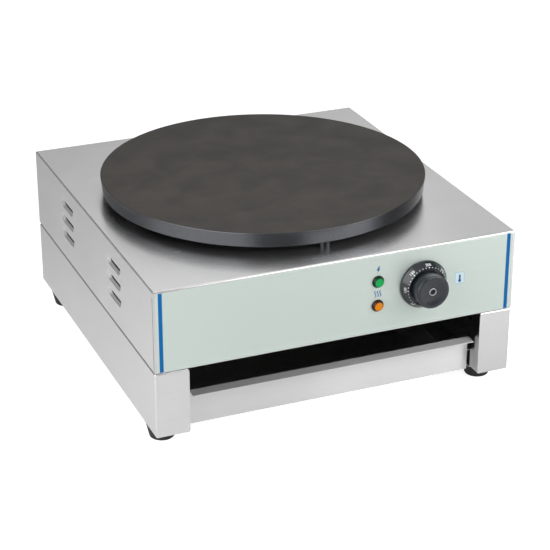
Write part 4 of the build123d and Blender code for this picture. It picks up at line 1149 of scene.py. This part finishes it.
@dataclass
class Knob(Assembly):
    """The dial with its scale, the grip and the insert in its face."""

    body: str = "knob"
    dressing: Dressing = (
        (SKIRT_PLASTIC, "knob_skirt"),
        (KNOB_PLASTIC, "knob_grip"),
        (ZINC, "thermostat_shaft"),
    )
    front: float = -233.0
    rim_radius: float = 29.5
    rim_reach: float = 3.5
    lip_radius: float = 23.5
    lip_reach: float = 12.3
    numbers: tuple[int, ...] = (50, 100, 150, 200, 250, 300)
    first_angle: float = 231.6
    step: float = -48.75
    number_height: float = 3.6
    size_per_height: float = 1.38
    number_weight: float = 0.06
    number_radius: float = 26.4
    number_lift: float = 0.4
    dot_radius: float = 24.35
    dot_size: float = 0.8
    dot_lift: float = 0.2
    small_dot_size: float = 0.55
    dots_between: int = 4
    off_angle: float = 268.6
    off_radius: float = 28.4
    ink: float = 0.05
    ink_lift: float = 0.03
    ring_width: float = 0.8
    ring_edge: float = 0.25
    ring_lip: float = 0.2
    insert_sunk: float = 0.4
    slot_size: Point = (1.2, 1.1)
    slot_end: float = 0.4
    slot_depth: float = 0.5
    slot_angle: float = -38.0
    facets: int = 56
    crease: float = 28.0
    centre: Vector = field(default_factory=Vector)

    def on_dial(self, angle: float, radius: float, lift: float) -> Matrix:
        """Find the place on the dial's cone at an angle and a radius.

        Args:
            angle: Degrees from the right, turning up, seen from the front.
            radius: Millimetres from the axis.
            lift: How far it stands off the cone.

        Returns:
            A matrix whose X runs round the dial, Y outwards down the cone and Z off it.
        """
        turn = math.radians(angle)
        radial = Vector((math.cos(turn), 0, math.sin(turn)))
        width, rise = self.rim_radius - self.lip_radius, self.lip_reach - self.rim_reach
        reach = self.rim_reach + (self.rim_radius - radius) / width * rise
        run = Vector((width, rise)).normalized()
        down = radial * run.x - FORWARD * run.y
        off = radial * run.y + FORWARD * run.x
        place = self.centre + (radial * radius + FORWARD * (reach - self.front)) * MM
        matrix = Matrix((down.cross(off), down, off)).transposed().to_4x4()
        matrix.translation = place + off * lift * MM
        return matrix

    def laid(self, piece: Piece, placing: Matrix) -> Piece:
        """Wrap a flat print onto the dial's cone and give it the ink's thickness.

        Args:
            piece: The flat print at the origin, facing Z.
            placing: Where it goes.

        Returns:
            The print on the cone.
        """
        settle(piece)
        piece.data.transform(placing)
        wrap = piece.modifiers.new("wrap", "SHRINKWRAP")
        wrap.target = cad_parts["knob_skirt"]
        wrap.wrap_method = "NEAREST_SURFACEPOINT"
        wrap.offset = self.ink_lift * MM
        ink = piece.modifiers.new("ink", "SOLIDIFY")
        ink.thickness = self.ink * MM
        ink.offset = 1.0
        apply_modifiers(piece)
        return piece

    def number(self, value: int, angle: float) -> Piece:
        """Print one temperature, its top outwards.

        Args:
            value: The number.
            angle: Its place on the dial.

        Returns:
            The print.
        """
        words = added("number", bpy.ops.object.text_add).data
        words.body = str(value)
        words.size = self.number_height * self.size_per_height * MM
        words.align_x = words.align_y = "CENTER"
        words.offset = self.number_weight * MM
        words.resolution_u = 4
        bpy.ops.object.convert(target="MESH")
        placing = self.on_dial(angle, self.number_radius, self.number_lift)
        return self.laid(bpy.context.object, placing)

    def dot(self, angle: float, radius: float, size: float) -> Piece:
        """Print one dot.

        Args:
            angle: Its place on the dial.
            radius: Its distance from the axis.
            size: Its own radius.

        Returns:
            The print.
        """
        circle = {"vertices": 14, "radius": size * MM, "fill_type": "NGON"}
        piece = added("dot", bpy.ops.mesh.primitive_circle_add, **circle)
        return self.laid(piece, self.on_dial(angle, radius, self.dot_lift))

    def scale(self) -> None:
        """Print the numbers with their large dots, the small dots between, and the off mark."""
        numbers, dots = [], []
        for index, value in enumerate(self.numbers):
            angle = self.first_angle + self.step * index
            numbers.append(self.number(value, angle))
            dots.append(self.dot(angle, self.dot_radius, self.dot_size))
            if value == self.numbers[-1]:
                break
            for part in range(1, self.dots_between + 1):
                between = angle + self.step * part / (self.dots_between + 1)
                dots.append(self.dot(between, self.dot_radius, self.small_dot_size))
        dots.append(self.dot(self.off_angle, self.off_radius, self.dot_size))
        self.finished(joined("dial_numbers", numbers), WHITE_INK, "knob_plastic")
        self.finished(joined("dial_dots", dots), WHITE_INK, "knob_plastic")

    def insert(self) -> None:
        """Turn the insert in the grip's face: a bright ring round a dark screw with a slot."""
        low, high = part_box("knob_cap")
        floor = Vector((self.centre.x, high.y, self.centre.z))
        depth, radius = (high.y - low.y) / MM, (high.x - low.x) / 2 / MM
        inner, sunk = radius - self.ring_width, depth - self.insert_sunk
        edge, lip = self.ring_edge, self.ring_lip
        outside = [(inner, 0.0), (radius, 0.0), (radius, depth - edge), (radius - edge, depth)]
        section = [*outside, (inner + lip, depth), (inner, depth - lip), (inner, 0.0)]
        ring = lathe("grip_ring", floor, FORWARD, section, self.facets)
        self.finished(ring, ALUMINIUM, "fastener")
        section = [(0.0, 0.0), (inner, 0.0), (inner, sunk - lip), (inner - lip, sunk), (0.0, sunk)]
        screw = lathe("grip_insert", floor, FORWARD, section, self.facets)
        slot = added("insert_slot", bpy.ops.mesh.primitive_cube_add, size=MM)
        slot.scale = (2 * (inner - self.slot_end), *self.slot_size)
        settle(slot)
        turned = Matrix.Rotation(math.radians(self.slot_angle), 4, "Y")
        place = (floor.x, low.y + self.slot_depth * MM, floor.z)
        slot.data.transform(Matrix.Translation(place) @ turned)
        cut_with(screw, slot)
        smooth(screw, self.crease)
        self.finished(screw, BLACKED, "fastener", "knob_cap")

    def add_pieces(self) -> None:
        """Find the axis, print the scale and fit the insert."""
        low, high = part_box("knob_grip")
        self.centre = Vector(((low.x + high.x) / 2, 0, (low.z + high.z) / 2))
        self.scale()
        self.insert()


@dataclass
class SupplySide(Assembly):
    """Gland, earth stud and terminal block."""

    dressing: Dressing = (
        (CASE_PLASTIC, "gland_body gland_dome_nut gland_locknut"),
        (NEOPRENE, "gland_seal"),
        (ZINC, "earth_stud earth_nuts"),
        (STEATITE, "terminal_block"),
        (BRASS, "terminal_barrels"),
    )


# ---- Studio ----


@dataclass(frozen=True)
class Softbox:
    """A square lamp that looks at a point."""

    name: str
    place: Point3
    aim: Point3
    size: float
    power: float

    def hang(self) -> None:
        """Add the lamp, turned to what it lights."""
        data = bpy.data.lights.new(self.name, "AREA")
        data.shape = "SQUARE"
        data.size = self.size
        data.energy = self.power
        lamp = bpy.data.objects.new(self.name, data)
        bpy.context.scene.collection.objects.link(lamp)
        lamp.location = self.place
        way = Vector(self.aim) - Vector(self.place)
        lamp.rotation_euler = way.to_track_quat("-Z", "Y").to_euler()
        log.info("lamp %s: %.1f W", self.name, self.power)


@dataclass
class Studio:
    """Floor, white surroundings, soft lamps and the camera."""

    azimuth: float = -22.52
    elevation: float = 24.80
    roll: float = 0.0008
    focal_pixels: float = 1827.0
    frame_pixels: float = 550.0
    sensor: float = 36.0
    clip: Point = (0.1, 60.0)
    target: Point3 = (0.0, 0.0, 120.0)
    offset: Point3 = (15.0, -31.7, 2296.0)
    floor_size: float = 14.0
    floor_tone: str = "#B8B8B8"
    floor_fibre: float = 30.0
    floor_roughness: Point = (0.85, 0.95)
    floor_white: float = 0.88
    floor_mirrored: float = 0.38
    ambient: float = 0.1
    # How bright the room is round the object in mirrors: degrees from the front, turning right.
    room: tuple[Point, ...] = (
        (-180.0, 0.22), (-150.0, 0.38), (-120.0, 0.55), (-90.0, 0.5), (-45.0, 0.36), (0.0, 0.3),
        (45.0, 0.04), (90.0, 0.05), (110.0, 0.5), (135.0, 1.0), (180.0, 0.22),
    )
    lamps: tuple[Softbox, ...] = (
        Softbox("left_front", (-1.6, -1.1, 0.9), (0.0, 0.0, 0.12), 1.7, 7.4),
        Softbox("overhead", (0.0, 0.1, 1.8), (0.0, 0.0, 0.2), 1.6, 6.0),
        Softbox("behind", (0.55, 1.35, 1.6), (0.0, -0.2, 0.2), 1.0, 2.8),
        Softbox("front", (0.9, -1.7, 1.0), (0.0, -0.1, 0.12), 1.1, 1.8),
        Softbox("floor_front", (0.55, -0.92, 0.6), (0.38, -0.55, 0.0), 0.85, 7.9),
        Softbox("floor_right", (0.75, -0.75, 0.4), (0.45, -0.5, 0.0), 0.55, 2.4),
        Softbox("floor_left", (-0.62, -0.28, 0.38), (-0.36, 0.0, 0.0), 0.8, 5.4),
    )

    def camera(self) -> None:
        """Set the camera from its angles, its distance and its focal length in pixels."""
        azimuth, elevation = math.radians(self.azimuth), math.radians(self.elevation)
        level = math.cos(elevation)
        ahead, aside = -math.cos(azimuth) * level, math.sin(azimuth) * level
        back = Vector((aside, ahead, math.sin(elevation)))
        right = Vector((0, 0, 1)).cross(back).normalized()
        up = back.cross(right)
        turned_right = right * math.cos(self.roll) + up * math.sin(self.roll)
        turned_up = up * math.cos(self.roll) - right * math.sin(self.roll)
        data = bpy.data.cameras.new("camera")
        data.sensor_width = self.sensor
        data.lens = self.focal_pixels * self.sensor / self.frame_pixels
        data.clip_start, data.clip_end = self.clip
        camera = bpy.data.objects.new("camera", data)
        bpy.context.scene.collection.objects.link(camera)
        axes = (turned_right, turned_up, back)
        place = Vector(self.target)
        for axis, distance in zip(axes, self.offset):
            place += axis * distance
        matrix = Matrix(axes).transposed().to_4x4()
        matrix.translation = place * MM
        camera.matrix_world = matrix
        bpy.context.scene.camera = camera

    def seen(self, add: Adder) -> Node:
        """Tell rays from the camera, a mirror or clear glass from the rest.

        Args:
            add: Adds a node to the tree that asks.

        Returns:
            The node that gives one for them, and nought for the rest.
        """
        rays = add("LightPath").outputs
        direct = (rays["Is Camera Ray"], rays["Is Glossy Ray"])
        mirrored = add("Math", direct, operation="MAXIMUM")
        return add("Math", (mirrored, rays["Is Transmission Ray"]), operation="MAXIMUM")

    def surroundings(self) -> None:
        """Make the world white to see, a room in mirrors, and a soft even light elsewhere."""
        world = bpy.data.worlds.new("surroundings")
        bpy.context.scene.world = world
        add = cleared(world)
        way = add("SeparateXYZ", [add("TexCoord").outputs["Generated"]]).outputs
        front = add("Math", (way["Y"], -1.0), operation="MULTIPLY")
        turn = add("Math", (way["X"], front), operation="ARCTAN2")
        share = add("MapRange", (turn, -math.pi, math.pi))
        walls = add("ValToRGB", {"Fac": share})
        stops = walls.color_ramp.elements
        while len(stops) < len(self.room):
            stops.new(0.5)
        for stop, (angle, level) in zip(stops, self.room):
            stop.position = (angle + 180) / 360
            stop.color = (level, level, level, 1.0)
        camera = add("LightPath").outputs["Is Camera Ray"]
        mirrored = add("Mix", {0: self.seen(add), 2: self.ambient, 3: walls.outputs["Color"]})
        strength = add("Mix", {0: camera, 2: mirrored, 3: 1.0})
        light = add("Background", {"Color": WHITE, "Strength": strength})
        add("OutputWorld", {"Surface": light})

    def floor(self) -> None:
        """Lay a pale floor that shows white but keeps the shadow on it."""
        ground = added("floor", bpy.ops.mesh.primitive_plane_add, size=self.floor_size)
        paper = bpy.data.materials.new("paper_floor")
        add = cleared(paper)
        place = add("TexCoord").outputs["Object"]
        fibre = add("TexNoise", {"Vector": place, "Scale": per_mm(self.floor_fibre), "Detail": 3.0})
        rough = add("MapRange", (fibre, *WHOLE, *self.floor_roughness))
        lit = add("BsdfPrincipled", {"Base Color": self.floor_tone, "Roughness": rough})
        # In mirrors the floor shows its own lamplight, with a little of the camera's white.
        camera = add("LightPath").outputs["Is Camera Ray"]
        mirrored = add("Math", (self.seen(add), self.floor_mirrored), operation="MULTIPLY")
        more = self.floor_white - self.floor_mirrored
        lift = add("Math", (camera, more, mirrored), operation="MULTIPLY_ADD")
        glow = add("Emission", {"Color": WHITE, "Strength": lift})
        add("OutputMaterial", {"Surface": add("AddShader", (lit, glow))})
        ground.data.materials.append(paper)

    def build(self) -> None:
        """Set up everything round the object."""
        self.camera()
        self.surroundings()
        self.floor()
        for lamp in self.lamps:
            lamp.hang()
        bpy.context.scene.view_settings.view_transform = "Standard"


def main() -> None:
    """Build the studio, then the sub-assemblies in order."""
    logging.basicConfig(level=logging.INFO, format="%(name)s: %(message)s")
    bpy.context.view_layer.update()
    Studio().build()
    for kind in (
        Stand, Tray, Housing, ControlPanel, Griddle, Heating, Thermostat, Knob, SupplySide,
    ):
        kind().build()
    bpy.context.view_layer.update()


if __name__ == "__main__":
    main()
